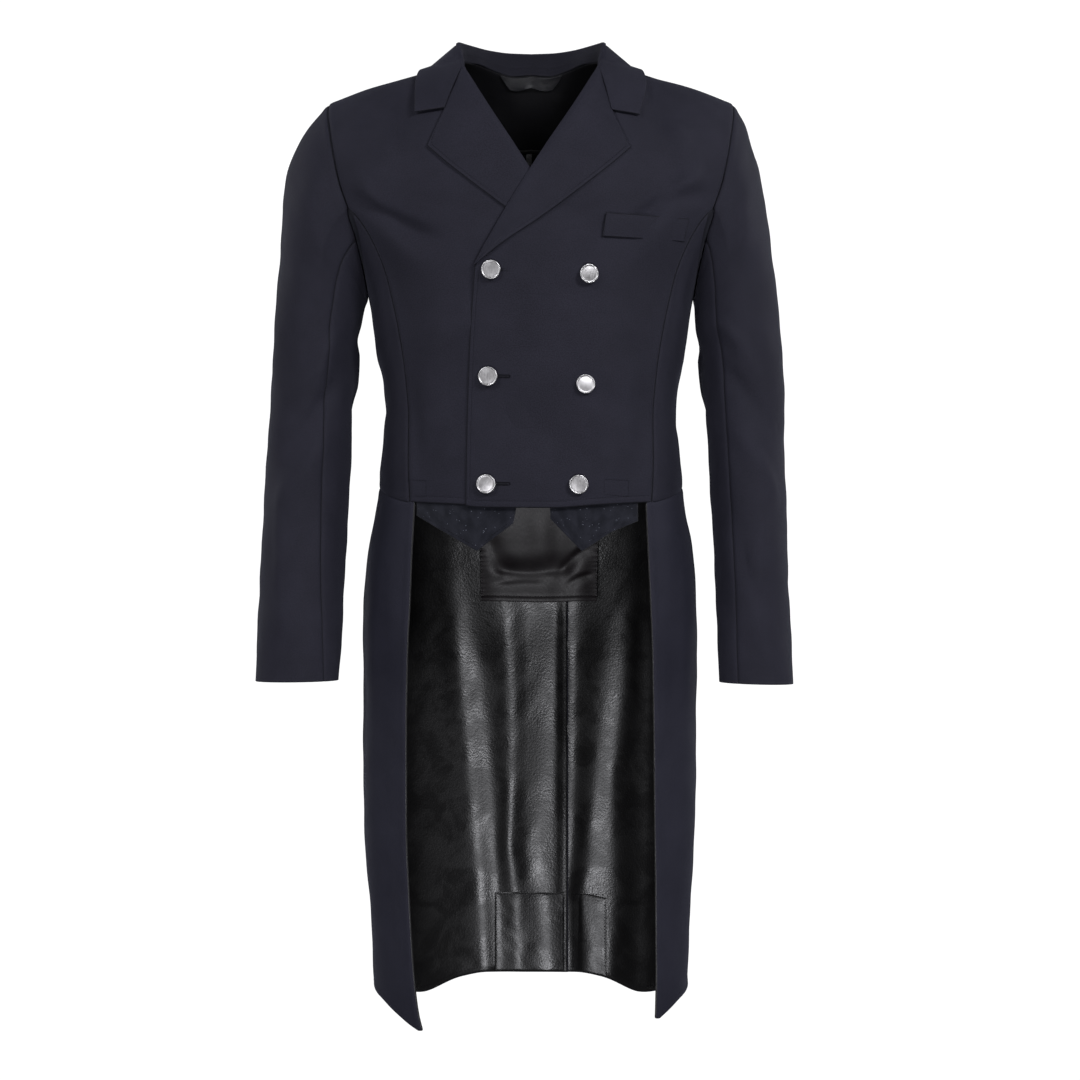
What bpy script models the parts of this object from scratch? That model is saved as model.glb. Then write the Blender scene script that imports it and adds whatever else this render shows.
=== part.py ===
# A double-breasted tailcoat in its worn form, open at the neck, cuffs and hem.
# The coat faces -Y, the wearer's left is +X, and +Z is up.
# The origin lies midway between the shoulder points, where the wearer carries the coat.
# All sizes below are in millimetres. MM turns them into metres.

import math

import bmesh
import bpy
import numpy as np

for item in list(bpy.data.objects):
    bpy.data.objects.remove(item, do_unlink=True)

MM = 0.001

# Thickness of each cloth and the clearances between pieces
SUITING = 1.6
TAIL_SHELL = 1.2
LINING = 1.0
COLLAR_CLOTH = 2.0
SEAM_GAP = 0.4
LAYER_GAP = 0.35
FACET_ALLOWANCE = 0.6
TWIST_ALLOWANCE = 0.25

# The torso is a stack of rounded sections. Above the chest level each front-to-back
# line arches over to the shoulder ridge.
SECTION_POWER = 2.3
CHEST_LEVEL = -120.0
ARCH_LENGTH = 210.0
NECK_HALF_WIDTH = 78.0
SHOULDER_HALF_WIDTH = 226.5
UNDERARM_HEIGHT = -212.0

# height, half_width, front_depth, back_depth
TORSO_SECTIONS = (
    (-1040, 165, 88, 113),
    (-977, 176, 92, 115),
    (-896, 179.5, 95, 117),
    (-821, 183.5, 97, 118),
    (-685, 186, 100, 120),
    (-596, 186, 102, 119),
    (-522, 183.5, 105, 113),
    (-485, 179.5, 108, 107),
    (-456, 174, 110, 101),
    (-426, 169.5, 112, 95),
    (-394, 167, 113, 90),
    (-368, 164.5, 114, 88),
    (-339, 163, 115, 89),
    (-310, 166, 117, 94),
    (-279, 171.5, 119, 101),
    (-249, 176, 122, 108),
    (-215, 181, 124, 114),
    (-190, 190, 124, 116),
    (-150, 213, 123, 117),
    (-120, 235, 121, 116),
    (-57, 250, 116, 108),
    (3, 250, 108, 98),
    (80, 250, 100, 92),
)

# side_distance, height
SHOULDER_RIDGE = (
    (0, 75), (40, 66.5), (78, 53), (100, 45), (121, 38), (154, 28),
    (188, 18), (211, 9.5), (226.5, 3), (245, -7),
)

# height, side_distance, seen from the front
ARMHOLE = ((-120, 200.5), (-93, 210), (-65, 216.5), (-29, 223), (-8, 226), (3, 226.5))
PRINCESS_SEAM = (
    (-442, 132.5), (-400, 134.5), (-352, 134.2), (-296, 138.5), (-251, 145.5),
    (-210, 154.5), (-188, 160.5), (-160, 172), (-132, 189), (-120, 200.5),
)
BACK_SEAM = (
    (-419, 125), (-352, 124), (-296, 131), (-251, 140), (-210, 151),
    (-160, 171), (-132, 188), (-120, 200.5),
)
FRONT_EDGE = (
    (-447, -70), (-372, -68.8), (-298, -66.5), (-239, -63.6), (-187, -59),
)
ROLL_LINE = (
    (-187, -59), (-120, -20.5), (-62, 15.5), (-10, 48), (20, 65), (37, 73.5), (50, 77),
)

# side_distance, height of the free front hem
FRONT_HEM = ((-70, -446.5), (-56, -448), (-16, -448.5), (23, -448.7), (68, -445.6), (132.5, -442))

# angle round the torso from the centre front, height
WAIST_SEAM = ((40, -444), (50, -442), (70, -433), (90, -425), (120, -420), (135, -419), (180, -418))
TAIL_HEM = (
    (40, -1023), (44, -1022), (48, -1018), (57, -1006), (72, -990), (90, -983),
    (115, -993), (136, -1003), (156, -988), (166, -984), (180, -984),
)

# height, side_distance of the tail's front edge on the wearer's right and left
TAIL_EDGE = (
    (-1023, 119, 137), (-1002, 124, 138), (-959, 129, 138.5), (-915, 132, 138),
    (-856, 135, 137.5), (-797, 137, 136.5), (-701, 137, 135.5), (-593, 135, 133.5),
    (-559, 133, 132), (-497, 130.5, 129), (-443, 127.5, 126.5),
)
TAIL_FACING = 5.0
VENT_UNDERLAP = 43.0
VENT_STEP = 3.0

# Rows of the front and back panels, from the hem up to the chest level
PANEL_LEVELS = (-447, -404, -361, -318, -275, -231, -187, -153, -120)
UPPER_ROWS = 7
GORGE_ROW = 5
YOKE_ROW = 3
FRONT_COLUMNS = 12
SIDE_COLUMNS = 8
BACK_COLUMN_SIDES = (0, 22, 43, 62, 78, 102, 127, 152, 177, 202, 226.5)
TAIL_ROWS = 10

# How far the left front stands off where it laps over the right front and its lapel
FRONT_LAP = 2.4
LAPEL_LAP = 2.9

# outer_x, outer_z, inner_x, inner_z, half_depth, middle_y, forearm_seam_angle
SLEEVE_SECTIONS = {
    "right": (
        (226.5, 3, 180, -212, 71, 0, 118),
        (248, -22, 181, -213, 71, 0, 117),
        (260, -40, 182, -215, 70, 0, 116),
        (268, -58, 183, -217, 69, 0, 115),
        (275, -83, 184, -220, 68, -1, 114),
        (278.5, -115, 185.5, -224, 66.5, -1, 113),
        (281, -166, 187, -230, 65, -2, 112),
        (285, -220, 189.5, -243, 63, -3, 112),
        (287.3, -271, 195, -272, 61, -5, 113),
        (290, -314, 195.5, -314, 60, -8, 113),
        (293, -364, 199, -364, 58, -13, 113),
        (296.6, -439, 201.7, -439, 55, -23, 115),
        (299.8, -511, 205, -511, 51, -34, 120),
        (302, -579, 208, -579, 47, -43, 126),
        (303.4, -639, 212, -638, 43, -50, 135),
    ),
    "left": (
        (226.5, 3, 180, -212, 71, 0, 118),
        (239, -19, 180.5, -213, 71, 0, 118),
        (248, -46, 181, -215, 70, 0, 119),
        (255.8, -71, 181.5, -217, 69, -1, 120),
        (261, -97, 182, -220, 68, -1, 121),
        (266, -130, 183, -226, 66, -2, 122),
        (270.5, -172, 183.5, -234, 64.5, -2, 123),
        (273, -225, 184, -248, 63, -3, 123),
        (278.5, -277, 190, -278, 60, -5, 123),
        (281.5, -330, 192.5, -330, 58, -9, 123),
        (283, -390, 197.6, -390, 56, -16, 123),
        (284.3, -452, 199.9, -452, 53, -25, 122),
        (285.6, -517, 202.5, -517, 50, -34, 121),
        (287, -585, 205.6, -585, 46, -43, 122),
        (289, -642, 208, -640, 42, -50, 124),
    ),
}
HIND_SEAM_ANGLE = 242.0
SLEEVE_CAP_RINGS = 7
CLOTH_CORNER_COSINES = (-0.5, 0.2)

# edge_x, edge_z for each row of the lapel, from the break up to the notch
LAPEL_EDGE = {
    "right": (
        (-55, -184), (-25.4, -161), (10, -137.4), (53, -105.5), (92, -74.5),
        (112, -56.5), (103, -36), (94, -15.5),
    ),
    "left": (
        (-55, -184), (-25.4, -161), (10, -137.4), (54, -104.5), (89, -76.5),
        (108, -59), (98.5, -39), (88, -18),
    ),
}
LAPEL_FRACTIONS = (0.12, 0.35, 0.6, 0.82, 1.0)

# beyond_edge and height of the outer face, then of the inner face, round the roll
ROLL_PROFILE = (
    (0.15, -1.6, 0.15, 0.0),
    (1.5, -1.2, 0.45, 0.15),
    (2.2, 0.4, 0.55, 0.4),
    (1.5, 1.9, 0.45, 0.65),
    (0.0, 2.4, 0.0, 0.8),
)
LAPEL_OUTER = 2.9
LAPEL_INNER = 1.35

# The collar from the centre back to the gorge: fold_x, fold_y, fold_z, edge_x, edge_y, edge_z
COLLAR_STATIONS = (
    (0, 64, 71, 0, 68, 27),
    (24, 61.5, 71.5, 28, 66, 27),
    (47, 52, 73, 57, 61, 28),
    (68, 31, 75, 90, 47, 31),
    (83, 3, 76, 119, 6, 39),
    (80.5, -22, 64, 127, -46, 11),
    (72, -49, 39, 122.6, -78, -18),
)
COLLAR_TIP = {"right": (126.5, -16.4), "left": (118.6, -19.7)}
COLLAR_CLEARANCE = 4.3
COLLAR_END_GAP = 0.9
COLLAR_NOTCH_SHARE = 0.55
NECK_CENTRE = (0.0, -6.0, 0.0)
FOLD_AT_GORGE = 2.4
FOLD_SIZE_AT_GORGE = 0.7
COLLAR_STEPS = (0.08, 0.3, 0.55, 0.78, 1.0)

# outward and upward of the outer face, then of the inner face, over the collar's fold
FOLD_PROFILE = (
    (-1.0, 0.4, 1.0, 0.4),
    (-0.5, 2.5, 1.1, 0.9),
    (1.2, 3.6, 1.5, 1.5),
    (3.2, 3.0, 2.2, 1.3),
)

# Corners of the breast pocket's welt, seen from the front
WELT_BOTTOM = ((76, -156.5), (167, -158))
WELT_TOP = ((80.5, -131.5), (171, -134))
WELT_CLOTH = 1.4

# side_distance, bottom_height of the pointed inserts under the fronts
POINT_TOP = -420.0
POINT_OUTLINES = {
    "right": ((-126, -457), (-92, -477), (-59, -496), (-38, -480), (-19, -466), (-16, -451)),
    "left": ((21.5, -461), (38, -478), (56, -496), (72, -486), (89, -475), (118, -463)),
}
POINT_CLOTH = 1.2

# Satin flap: from and to side distance, heights and how far it hangs inside the back
FLAP_SIDES = (-61.0, 80.0)
# height, inward distance
FLAP_FALL = ((-402, 3.7), (-410, 4.1), (-418, 7.5), (-460, 9.5), (-490, 13), (-520, 16), (-552, 18))
FLAP_WAVES = 4
FLAP_WAVE_DEPTH = 1.6

WEIGHT_POCKETS = {"right": (43.0, -39.0), "left": (47.0, 88.0)}
WEIGHT_POCKET_HEIGHT = 92.0

LABEL_HALF_WIDTH = 35.0
PIPING_HEIGHT = 3.0

# side_distance, height, sideways_tilt, upward_tilt of each button
BUTTONS = {
    "button_inner_top": (-42.0, -193.0, 0, 0),
    "button_inner_middle": (-45.5, -307.0, 0, 4),
    "button_inner_bottom": (-47.5, -423.0, 0, 0),
    "button_outer_top": (61.0, -197.0, 10, 0),
    "button_outer_middle": (58.0, -315.5, 4, 8),
    "button_outer_bottom": (51.0, -423.5, 0, 0),
}
BUTTON_SEGMENTS = 16

# radius, height of the button from the foot of its shank
BUTTON_PROFILE = (
    (2.6, 0.0), (2.6, 2.3), (9.8, 2.6), (10.5, 3.5), (10.0, 4.9), (8.8, 4.4),
)
BUTTON_CROWN = 4.9

# red, green, blue, roughness, metallic
FINISHES = {
    "suiting": (0.023, 0.023, 0.033, 0.9, 0.0),
    "leather": (0.008, 0.008, 0.010, 0.45, 0.0),
    "satin": (0.022, 0.019, 0.021, 0.35, 0.0),
    "suede": (0.012, 0.013, 0.022, 0.95, 0.0),
    "lining": (0.020, 0.020, 0.023, 0.6, 0.0),
    "piping": (0.012, 0.012, 0.013, 0.5, 0.0),
    "label": (0.05, 0.05, 0.055, 0.8, 0.0),
    "metal": (0.45, 0.45, 0.44, 0.35, 1.0),
}


# Small numeric helpers

def unit(vectors):
    length = np.linalg.norm(vectors, axis=-1, keepdims=True)
    return vectors / np.maximum(length, 1e-9)


def eased(value):
    value = np.clip(value, 0.0, 1.0)
    return value * value * (3.0 - 2.0 * value)


def blend(start, end, fraction):
    return start + (end - start) * fraction


def curve(table, at, column=1):
    # A smooth curve through the table's rows that doesn't overshoot between them.
    rows = np.array(sorted(table), dtype=float)
    key, value = rows[:, 0], rows[:, column]
    step = np.diff(key)
    slope = np.diff(value) / step
    tangent = np.zeros_like(value)
    tangent[0], tangent[-1] = slope[0], slope[-1]
    product = slope[:-1] * slope[1:]
    total = np.where(product > 0, slope[:-1] + slope[1:], 1.0)
    tangent[1:-1] = np.where(product > 0, 2.0 * product / total, 0.0)
    at = np.clip(np.asarray(at, dtype=float), key[0], key[-1])
    row = np.clip(np.searchsorted(key, at) - 1, 0, len(key) - 2)
    width = step[row]
    t = (at - key[row]) / width
    return ((1 + 2 * t) * (1 - t) ** 2 * value[row] + t * (1 - t) ** 2 * width * tangent[row]
            + t * t * (3 - 2 * t) * value[row + 1] - t * t * (1 - t) * width * tangent[row + 1])


# Objects and meshes

def finish(name):
    material = bpy.data.materials.get(name)
    if material is None:
        red, green, blue, roughness, metallic = FINISHES[name]
        material = bpy.data.materials.new(name)
        material.use_nodes = True
        shader = material.node_tree.nodes["Principled BSDF"]
        shader.inputs["Base Color"].default_value = (red, green, blue, 1.0)
        shader.inputs["Roughness"].default_value = roughness
        shader.inputs["Metallic"].default_value = metallic
        material.diffuse_color = (red, green, blue, 1.0)
    return material


def add_object(name, points, faces, finish_name):
    mesh = bpy.data.meshes.new(name)
    mesh.from_pydata([tuple(point) for point in points * MM], [], faces)
    cleaner = bmesh.new()
    cleaner.from_mesh(mesh)
    bmesh.ops.recalc_face_normals(cleaner, faces=cleaner.faces)
    cleaner.to_mesh(mesh)
    cleaner.free()
    mesh.materials.append(finish(finish_name))
    mesh.shade_smooth()
    mesh.set_sharp_from_angle(angle=math.radians(40))
    item = bpy.data.objects.new(name, mesh)
    bpy.context.scene.collection.objects.link(item)
    return item


def wall(name, outer, inner, finish_name, mirrored=False, centre=0):
    # A closed sheet between two grids of points, with a rim along all four edges. The cells
    # are cut along the same diagonals on each layer, and the other way before the centre.
    rows, columns = outer.shape[:2]
    points = np.concatenate([outer.reshape(-1, 3), inner.reshape(-1, 3)])
    if mirrored:
        points = points * np.array([-1.0, 1.0, 1.0])

    def index(face, row, column):
        return face * rows * columns + row * columns + column

    faces = []
    for row in range(rows - 1):
        for column in range(columns - 1):
            corners = [(row, column), (row, column + 1), (row + 1, column + 1), (row + 1, column)]
            if column < centre:
                corners = corners[1:] + corners[:1]
            for triangle in ((0, 1, 2), (0, 2, 3)):
                faces.append([index(0, *corners[number]) for number in triangle])
                faces.append([index(1, *corners[number]) for number in reversed(triangle)])
    border = [(0, column) for column in range(columns - 1)]
    border += [(row, columns - 1) for row in range(rows - 1)]
    border += [(rows - 1, column) for column in range(columns - 1, 0, -1)]
    border += [(row, 0) for row in range(rows - 1, 0, -1)]
    for here, there in zip(border, border[1:] + border[:1]):
        faces.append([index(0, *there), index(0, *here), index(1, *here), index(1, *there)])
    return add_object(name, points, faces, finish_name)


EDGE_ROWS = {"bottom": (0, 1), "top": (-1, -2)}
EDGE_COLUMNS = {"start": (0, 1), "end": (-1, -2)}


def drawn_in(grid, sides, amount=SEAM_GAP / 2):
    # Moves the named edges of a grid inwards, which leaves the gap at a seam.
    grid = grid.copy()
    for side in sides:
        if side in EDGE_ROWS:
            edge, inner = EDGE_ROWS[side]
            grid[edge] += unit(grid[inner] - grid[edge]) * amount
        else:
            edge, inner = EDGE_COLUMNS[side]
            grid[:, edge] += unit(grid[:, inner] - grid[:, edge]) * amount
    return grid


# The torso's surface, addressed by side distance and arch length, or by angle and height

def ridge_height(x):
    return curve(SHOULDER_RIDGE, np.abs(x))


def arch_to_height(x, arch):
    rise = np.sin(np.clip(arch, 0, None) / ARCH_LENGTH * math.pi / 2)
    return CHEST_LEVEL + np.minimum(arch, 0) + (ridge_height(x) - CHEST_LEVEL) * rise


def height_to_arch(x, z):
    share = np.clip((z - CHEST_LEVEL) / (ridge_height(x) - CHEST_LEVEL), 0, 1)
    return np.minimum(z - CHEST_LEVEL, 0) + np.arcsin(share) * ARCH_LENGTH * 2 / math.pi


def torso_base(x, arch, side):
    # side is -1 for the front and +1 for the back.
    x, arch = np.broadcast_arrays(np.asarray(x, float), np.asarray(arch, float))
    z = arch_to_height(x, arch)
    depth = curve(TORSO_SECTIONS, z, 2 if side < 0 else 3)
    across = np.clip(1 - (np.abs(x) / curve(TORSO_SECTIONS, z, 1)) ** SECTION_POWER, 0, None)
    lean = np.cos(np.clip(arch, 0, None) / ARCH_LENGTH * math.pi / 2)
    return np.stack([x, side * depth * across ** (1 / SECTION_POWER) * lean, z], axis=-1)


def torso(x, arch, side, offset=0.0):
    x, arch = np.broadcast_arrays(np.asarray(x, float), np.asarray(arch, float))
    step = 0.5
    across = torso_base(x + step, arch, side) - torso_base(x - step, arch, side)
    along = torso_base(x, arch + step, side) - torso_base(x, arch - step, side)
    normal = unit(np.cross(across, along)) * -side
    return torso_base(x, arch, side) + normal * np.asarray(offset, float)[..., None]


def round_base(angle, z):
    angle, z = np.broadcast_arrays(np.asarray(angle, float), np.asarray(z, float))
    width = curve(TORSO_SECTIONS, z, 1)
    depth = np.where(np.cos(angle) > 0, curve(TORSO_SECTIONS, z, 2), curve(TORSO_SECTIONS, z, 3))
    power = 2 / SECTION_POWER
    x = width * np.sign(np.sin(angle)) * np.abs(np.sin(angle)) ** power
    y = -depth * np.sign(np.cos(angle)) * np.abs(np.cos(angle)) ** power
    return np.stack([x, y, z], axis=-1)


def round_normal(angle, z):
    turn, step = 0.004, 0.5
    across = round_base(angle + turn, z) - round_base(angle - turn, z)
    along = round_base(angle, z + step) - round_base(angle, z - step)
    return unit(np.cross(across, along))


def around(angle, z, offset=0.0):
    return round_base(angle, z) + round_normal(angle, z) * np.asarray(offset, float)[..., None]


def angle_at(x, z, side):
    share = np.clip(np.abs(x) / curve(TORSO_SECTIONS, z, 1), 0, 1)
    turn = np.arcsin(share ** (SECTION_POWER / 2)) * np.where(np.asarray(x) < 0, -1.0, 1.0)
    return turn if side < 0 else math.pi - turn


# Shared seams, so that neighbours meet point for point

LEVEL_SHARES = (np.array(PANEL_LEVELS) - PANEL_LEVELS[0]) / (CHEST_LEVEL - PANEL_LEVELS[0])
UPPER_ARCHES = np.arange(1, UPPER_ROWS + 1) * ARCH_LENGTH / UPPER_ROWS
FRONT_SEAM_HEIGHTS = blend(-442.0, CHEST_LEVEL, LEVEL_SHARES)
BACK_SEAM_HEIGHTS = blend(-419.0, CHEST_LEVEL, LEVEL_SHARES)


def front_lap(x, z):
    # How far the left front's outer face stands off the torso's surface.
    front = FRONT_LAP * eased((135 - x) / 60) * eased((20 - z) / 90)
    lapel = LAPEL_LAP * eased((125 - x) / 60) * eased((z + 225) / 30) * eased((-22 - z) / 62)
    return front + lapel


def armhole_side(arch):
    x = np.full_like(arch, SHOULDER_HALF_WIDTH)
    for _ in range(8):
        x = curve(ARMHOLE, arch_to_height(x, arch))
    return x


def front_grid():
    # Side distance and arch length of each point of a front panel.
    share = np.linspace(0, 1, FRONT_COLUMNS + 1)
    sides, arches = [], []
    for level in LEVEL_SHARES:
        inner = -60.0
        for _ in range(6):
            height = blend(curve(FRONT_HEM, inner), CHEST_LEVEL, level)
            inner = float(curve(FRONT_EDGE if height < -187 else ROLL_LINE, height))
        outer = float(curve(PRINCESS_SEAM, blend(-442.0, CHEST_LEVEL, level)))
        x = blend(inner, outer, share)
        sides.append(x)
        arches.append(blend(curve(FRONT_HEM, x), CHEST_LEVEL, level) - CHEST_LEVEL)
    top = np.array(BACK_COLUMN_SIDES[4:])
    top = np.sort(np.concatenate([top, (top[1:] + top[:-1]) / 2]))
    for row, arch in enumerate(UPPER_ARCHES, start=1):
        inner = 0.0
        for _ in range(12):
            inner = float(curve(ROLL_LINE, arch_to_height(inner, arch)))
        if row > GORGE_ROW:
            inner = blend(NECK_HALF_WIDTH, inner, 0.5) if row < UPPER_ROWS else NECK_HALF_WIDTH
        outer = float(armhole_side(np.array([arch]))[0])
        even = blend(inner, outer, share)
        matched = blend(inner, outer, (top - top[0]) / (top[-1] - top[0]))
        sides.append(blend(even, matched, row / UPPER_ROWS))
        arches.append(np.full(FRONT_COLUMNS + 1, arch))
    return np.array(sides), np.array(arches)


def back_top_arch(x):
    neck_drop = 0.648
    rise = np.clip(np.abs(x) / NECK_HALF_WIDTH, 0, 1) ** 2.5
    return ARCH_LENGTH * blend(neck_drop, 1.0, rise)


def back_grid():
    share = np.array(BACK_COLUMN_SIDES) / SHOULDER_HALF_WIDTH
    sides, arches = [], []
    for level in LEVEL_SHARES:
        outer = float(curve(BACK_SEAM, blend(-419.0, CHEST_LEVEL, level)))
        x = outer * share
        waist = curve(WAIST_SEAM, np.degrees(angle_at(x, np.full_like(x, -419.0), 1)))
        waist[-1] = -419.0
        sides.append(x)
        arches.append(blend(waist, CHEST_LEVEL, level) - CHEST_LEVEL)
    for arch in UPPER_ARCHES:
        outer = float(armhole_side(np.array([arch]))[0])
        x = outer * share
        sides.append(x)
        arches.append(back_top_arch(x) * arch / ARCH_LENGTH)
    return np.array(sides), np.array(arches)


def side_grid():
    # Angle and height of each point of a side panel, blended from its four seams.
    share = np.linspace(0, 1, SIDE_COLUMNS + 1)
    level = LEVEL_SHARES
    first = angle_at(curve(PRINCESS_SEAM, FRONT_SEAM_HEIGHTS), FRONT_SEAM_HEIGHTS, -1)
    last = angle_at(curve(BACK_SEAM, BACK_SEAM_HEIGHTS), BACK_SEAM_HEIGHTS, 1)
    low_angle = blend(first[0], last[0], share)
    low_height = curve(WAIST_SEAM, np.degrees(low_angle))
    low_height[0], low_height[-1] = -442.0, -419.0
    high_angle = blend(first[-1], last[-1], share)
    dip = CHEST_LEVEL - UNDERARM_HEIGHT
    high_height = UNDERARM_HEIGHT + dip * np.abs(2 * share - 1) ** 1.7

    def coons(low, high, start, end):
        s, t = share[None, :], level[:, None]
        edges = (1 - t) * low[None, :] + t * high[None, :] + (1 - s) * start[:, None] + s * end[:, None]
        corners = ((1 - s) * (1 - t) * low[0] + s * (1 - t) * low[-1]
                   + (1 - s) * t * high[0] + s * t * high[-1])
        return edges - corners

    angle = coons(low_angle, high_angle, first, last)
    height = coons(low_height, high_height, FRONT_SEAM_HEIGHTS, BACK_SEAM_HEIGHTS)
    return angle, height


FRONT_X, FRONT_ARCH = front_grid()
BACK_X, BACK_ARCH = back_grid()
SIDE_ANGLE, SIDE_HEIGHT = side_grid()
LOWER_ROWS = len(PANEL_LEVELS)


# Body panels

def make_fronts():
    height = arch_to_height(FRONT_X, FRONT_ARCH)
    seams = ("start", "end", "bottom", "top")
    for side, lap in (("left", front_lap(FRONT_X, height)), ("right", np.zeros_like(FRONT_X))):
        outer = drawn_in(torso(FRONT_X, FRONT_ARCH, -1, lap), seams)
        inner = drawn_in(torso(FRONT_X, FRONT_ARCH, -1, lap - SUITING), seams)
        wall("front_" + side, outer, inner, "suiting", mirrored=side == "right")


def make_sides():
    seams = ("start", "end", "bottom", "top")
    outer = drawn_in(around(SIDE_ANGLE, SIDE_HEIGHT), seams)
    inner = drawn_in(around(SIDE_ANGLE, SIDE_HEIGHT, np.full_like(SIDE_ANGLE, -SUITING)), seams)
    for side in ("left", "right"):
        wall("side_" + side, outer, inner, "suiting", mirrored=side == "right")


def make_backs():
    seams = ("start", "end", "bottom", "top")
    outer = drawn_in(torso(BACK_X, BACK_ARCH, 1), seams)
    inner = drawn_in(torso(BACK_X, BACK_ARCH, 1, np.full_like(BACK_X, -SUITING)), seams)
    for side in ("left", "right"):
        wall("back_" + side, outer, inner, "suiting", mirrored=side == "right")


# Sleeves, lofted from the armhole down to the cuff

def armhole_loop():
    # Points of the armhole from the shoulder over the front, the underarm and the back.
    rows = np.arange(UPPER_ROWS - 1, -1, -1)
    upper = np.array([UPPER_ARCHES[row] for row in rows])
    side = armhole_side(upper)
    minus = np.full_like(upper, -SUITING)
    low_angle, low_height = SIDE_ANGLE[-1], SIDE_HEIGHT[-1]
    low_minus = np.full_like(low_angle, -SUITING)
    outer = np.concatenate([
        torso(side, upper, -1), around(low_angle, low_height), torso(side, upper, 1)[:0:-1]])
    inner = np.concatenate([
        torso(side, upper, -1, minus), around(low_angle, low_height, low_minus),
        torso(side, upper, 1, minus)[:0:-1]])
    return outer, inner


def loop_angles(loop):
    # Angle of each armhole point, by its share of the front or the back half's length.
    bottom = UPPER_ROWS + SIDE_COLUMNS // 2
    length = np.concatenate([[0], np.cumsum(np.linalg.norm(np.diff(loop, axis=0), axis=1))])
    whole = length[-1] + np.linalg.norm(loop[0] - loop[-1])
    front = math.pi * length / length[bottom]
    back = math.pi + math.pi * (length - length[bottom]) / (whole - length[bottom])
    return np.where(length <= length[bottom], front, back)


def sleeve_rings(side):
    loop, inner_loop = armhole_loop()
    turn = loop_angles(loop)
    forearm = UPPER_ROWS + 1
    hind = UPPER_ROWS + SIDE_COLUMNS + 2
    rings = []
    for number, row in enumerate(SLEEVE_SECTIONS[side]):
        outer_x, outer_z, inner_x, inner_z, depth, middle_y, seam_angle = row
        knots = [0, turn[forearm], math.pi, turn[hind], 2 * math.pi]
        share = min(1.0, number / SLEEVE_CAP_RINGS)
        seam = blend(turn[forearm], math.radians(seam_angle), share)
        back_seam = blend(turn[hind], math.radians(HIND_SEAM_ANGLE), share)
        angle = np.interp(turn, knots, [0, seam, math.pi, back_seam, 2 * math.pi])
        top = np.array([outer_x, middle_y, outer_z], dtype=float)
        bottom = np.array([inner_x, middle_y, inner_z], dtype=float)
        centre, arm = (top + bottom) / 2, (top - bottom) / 2
        front = np.array([0.0, -depth, 0.0])
        ring = centre + np.cos(angle)[:, None] * arm + np.sin(angle)[:, None] * front
        if number == 0:
            shift = loop - ring
        rings.append(ring + shift * (1 - share) ** 1.5)
    rings = np.array(rings)
    return rings, inner_loop, turn, forearm, hind


def make_sleeve(side):
    rings, inner_loop, turn, forearm, hind = sleeve_rings(side)
    around_ring = np.roll(rings, -1, axis=1) - np.roll(rings, 1, axis=1)
    down_arm = np.gradient(rings, axis=0)
    normal = unit(np.cross(around_ring, down_arm))
    inner = rings - normal * SUITING
    low, high = CLOTH_CORNER_COSINES
    follow = eased((np.cos(turn) - low) / (high - low))[:, None]
    inner[0] = blend(inner[0], inner_loop, follow)
    count = rings.shape[1]
    upper = [column % count for column in range(hind, count + forearm + 1)]
    under = list(range(forearm, hind + 1))
    for name, columns in (("sleeve_upper_", upper), ("sleeve_under_", under)):
        seams = ("start", "end", "bottom")
        wall(name + side, drawn_in(rings[:, columns], seams), drawn_in(inner[:, columns], seams),
             "suiting", mirrored=side == "right")


# Lapels and collar

def make_lapel(side):
    lowest = LOWER_ROWS - 3
    rows = range(lowest, LOWER_ROWS + GORGE_ROW)
    outer, inner = [], []
    for row, (edge_x, edge_z) in zip(rows, LAPEL_EDGE[side]):
        roll_x = FRONT_X[row, 0]
        roll_z = float(arch_to_height(roll_x, FRONT_ARCH[row, 0]))
        run = np.array([edge_x - roll_x, edge_z - roll_z])
        width = float(np.linalg.norm(run))
        away = -run / width
        size = min(1.0, width / 8.0)
        face_rows = ([], [])
        for beyond, height, inner_beyond, inner_height in ROLL_PROFILE:
            face_rows[0].append((roll_x + away[0] * beyond, roll_z + away[1] * beyond, height))
            face_rows[1].append((roll_x + away[0] * inner_beyond, roll_z + away[1] * inner_beyond,
                                 inner_height))
        for share in LAPEL_FRACTIONS:
            reach = blend(2.5 * size, width, share)
            place = (roll_x - away[0] * reach, roll_z - away[1] * reach)
            face_rows[0].append((*place, LAPEL_OUTER))
            face_rows[1].append((*place, LAPEL_INNER))
        for grid, face in ((outer, face_rows[0]), (inner, face_rows[1])):
            x, z, height = np.array(face).T
            lap = front_lap(x, z) if side == "left" else 0.0
            grid.append(torso(x, height_to_arch(x, z), -1, height + lap))
    outer = drawn_in(np.array(outer), ("top",))
    inner = drawn_in(np.array(inner), ("top",))
    wall("lapel_" + side, outer, inner, "suiting", mirrored=side == "right")


def clear_of_torso(points, clearance, exact=False):
    # Moves points out along their arch until they stand off the torso's surface.
    x, y, z = points[..., 0], points[..., 1], points[..., 2]
    depth = np.where(y < 0, curve(TORSO_SECTIONS, z, 2), curve(TORSO_SECTIONS, z, 3))
    width = curve(TORSO_SECTIONS, z, 1)
    depth = depth * np.clip(1 - (np.abs(x) / width) ** SECTION_POWER, 0.01, None) ** (1 / SECTION_POWER)
    rise = ridge_height(x) - CHEST_LEVEL
    radius = np.hypot(y, z - CHEST_LEVEL)
    surface = radius / np.sqrt((y / depth) ** 2 + ((z - CHEST_LEVEL) / rise) ** 2)
    wanted = surface + clearance
    scale = wanted / radius if exact else np.maximum(1.0, wanted / radius)
    return np.stack([x, y * scale, CHEST_LEVEL + (z - CHEST_LEVEL) * scale], axis=-1)


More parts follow.
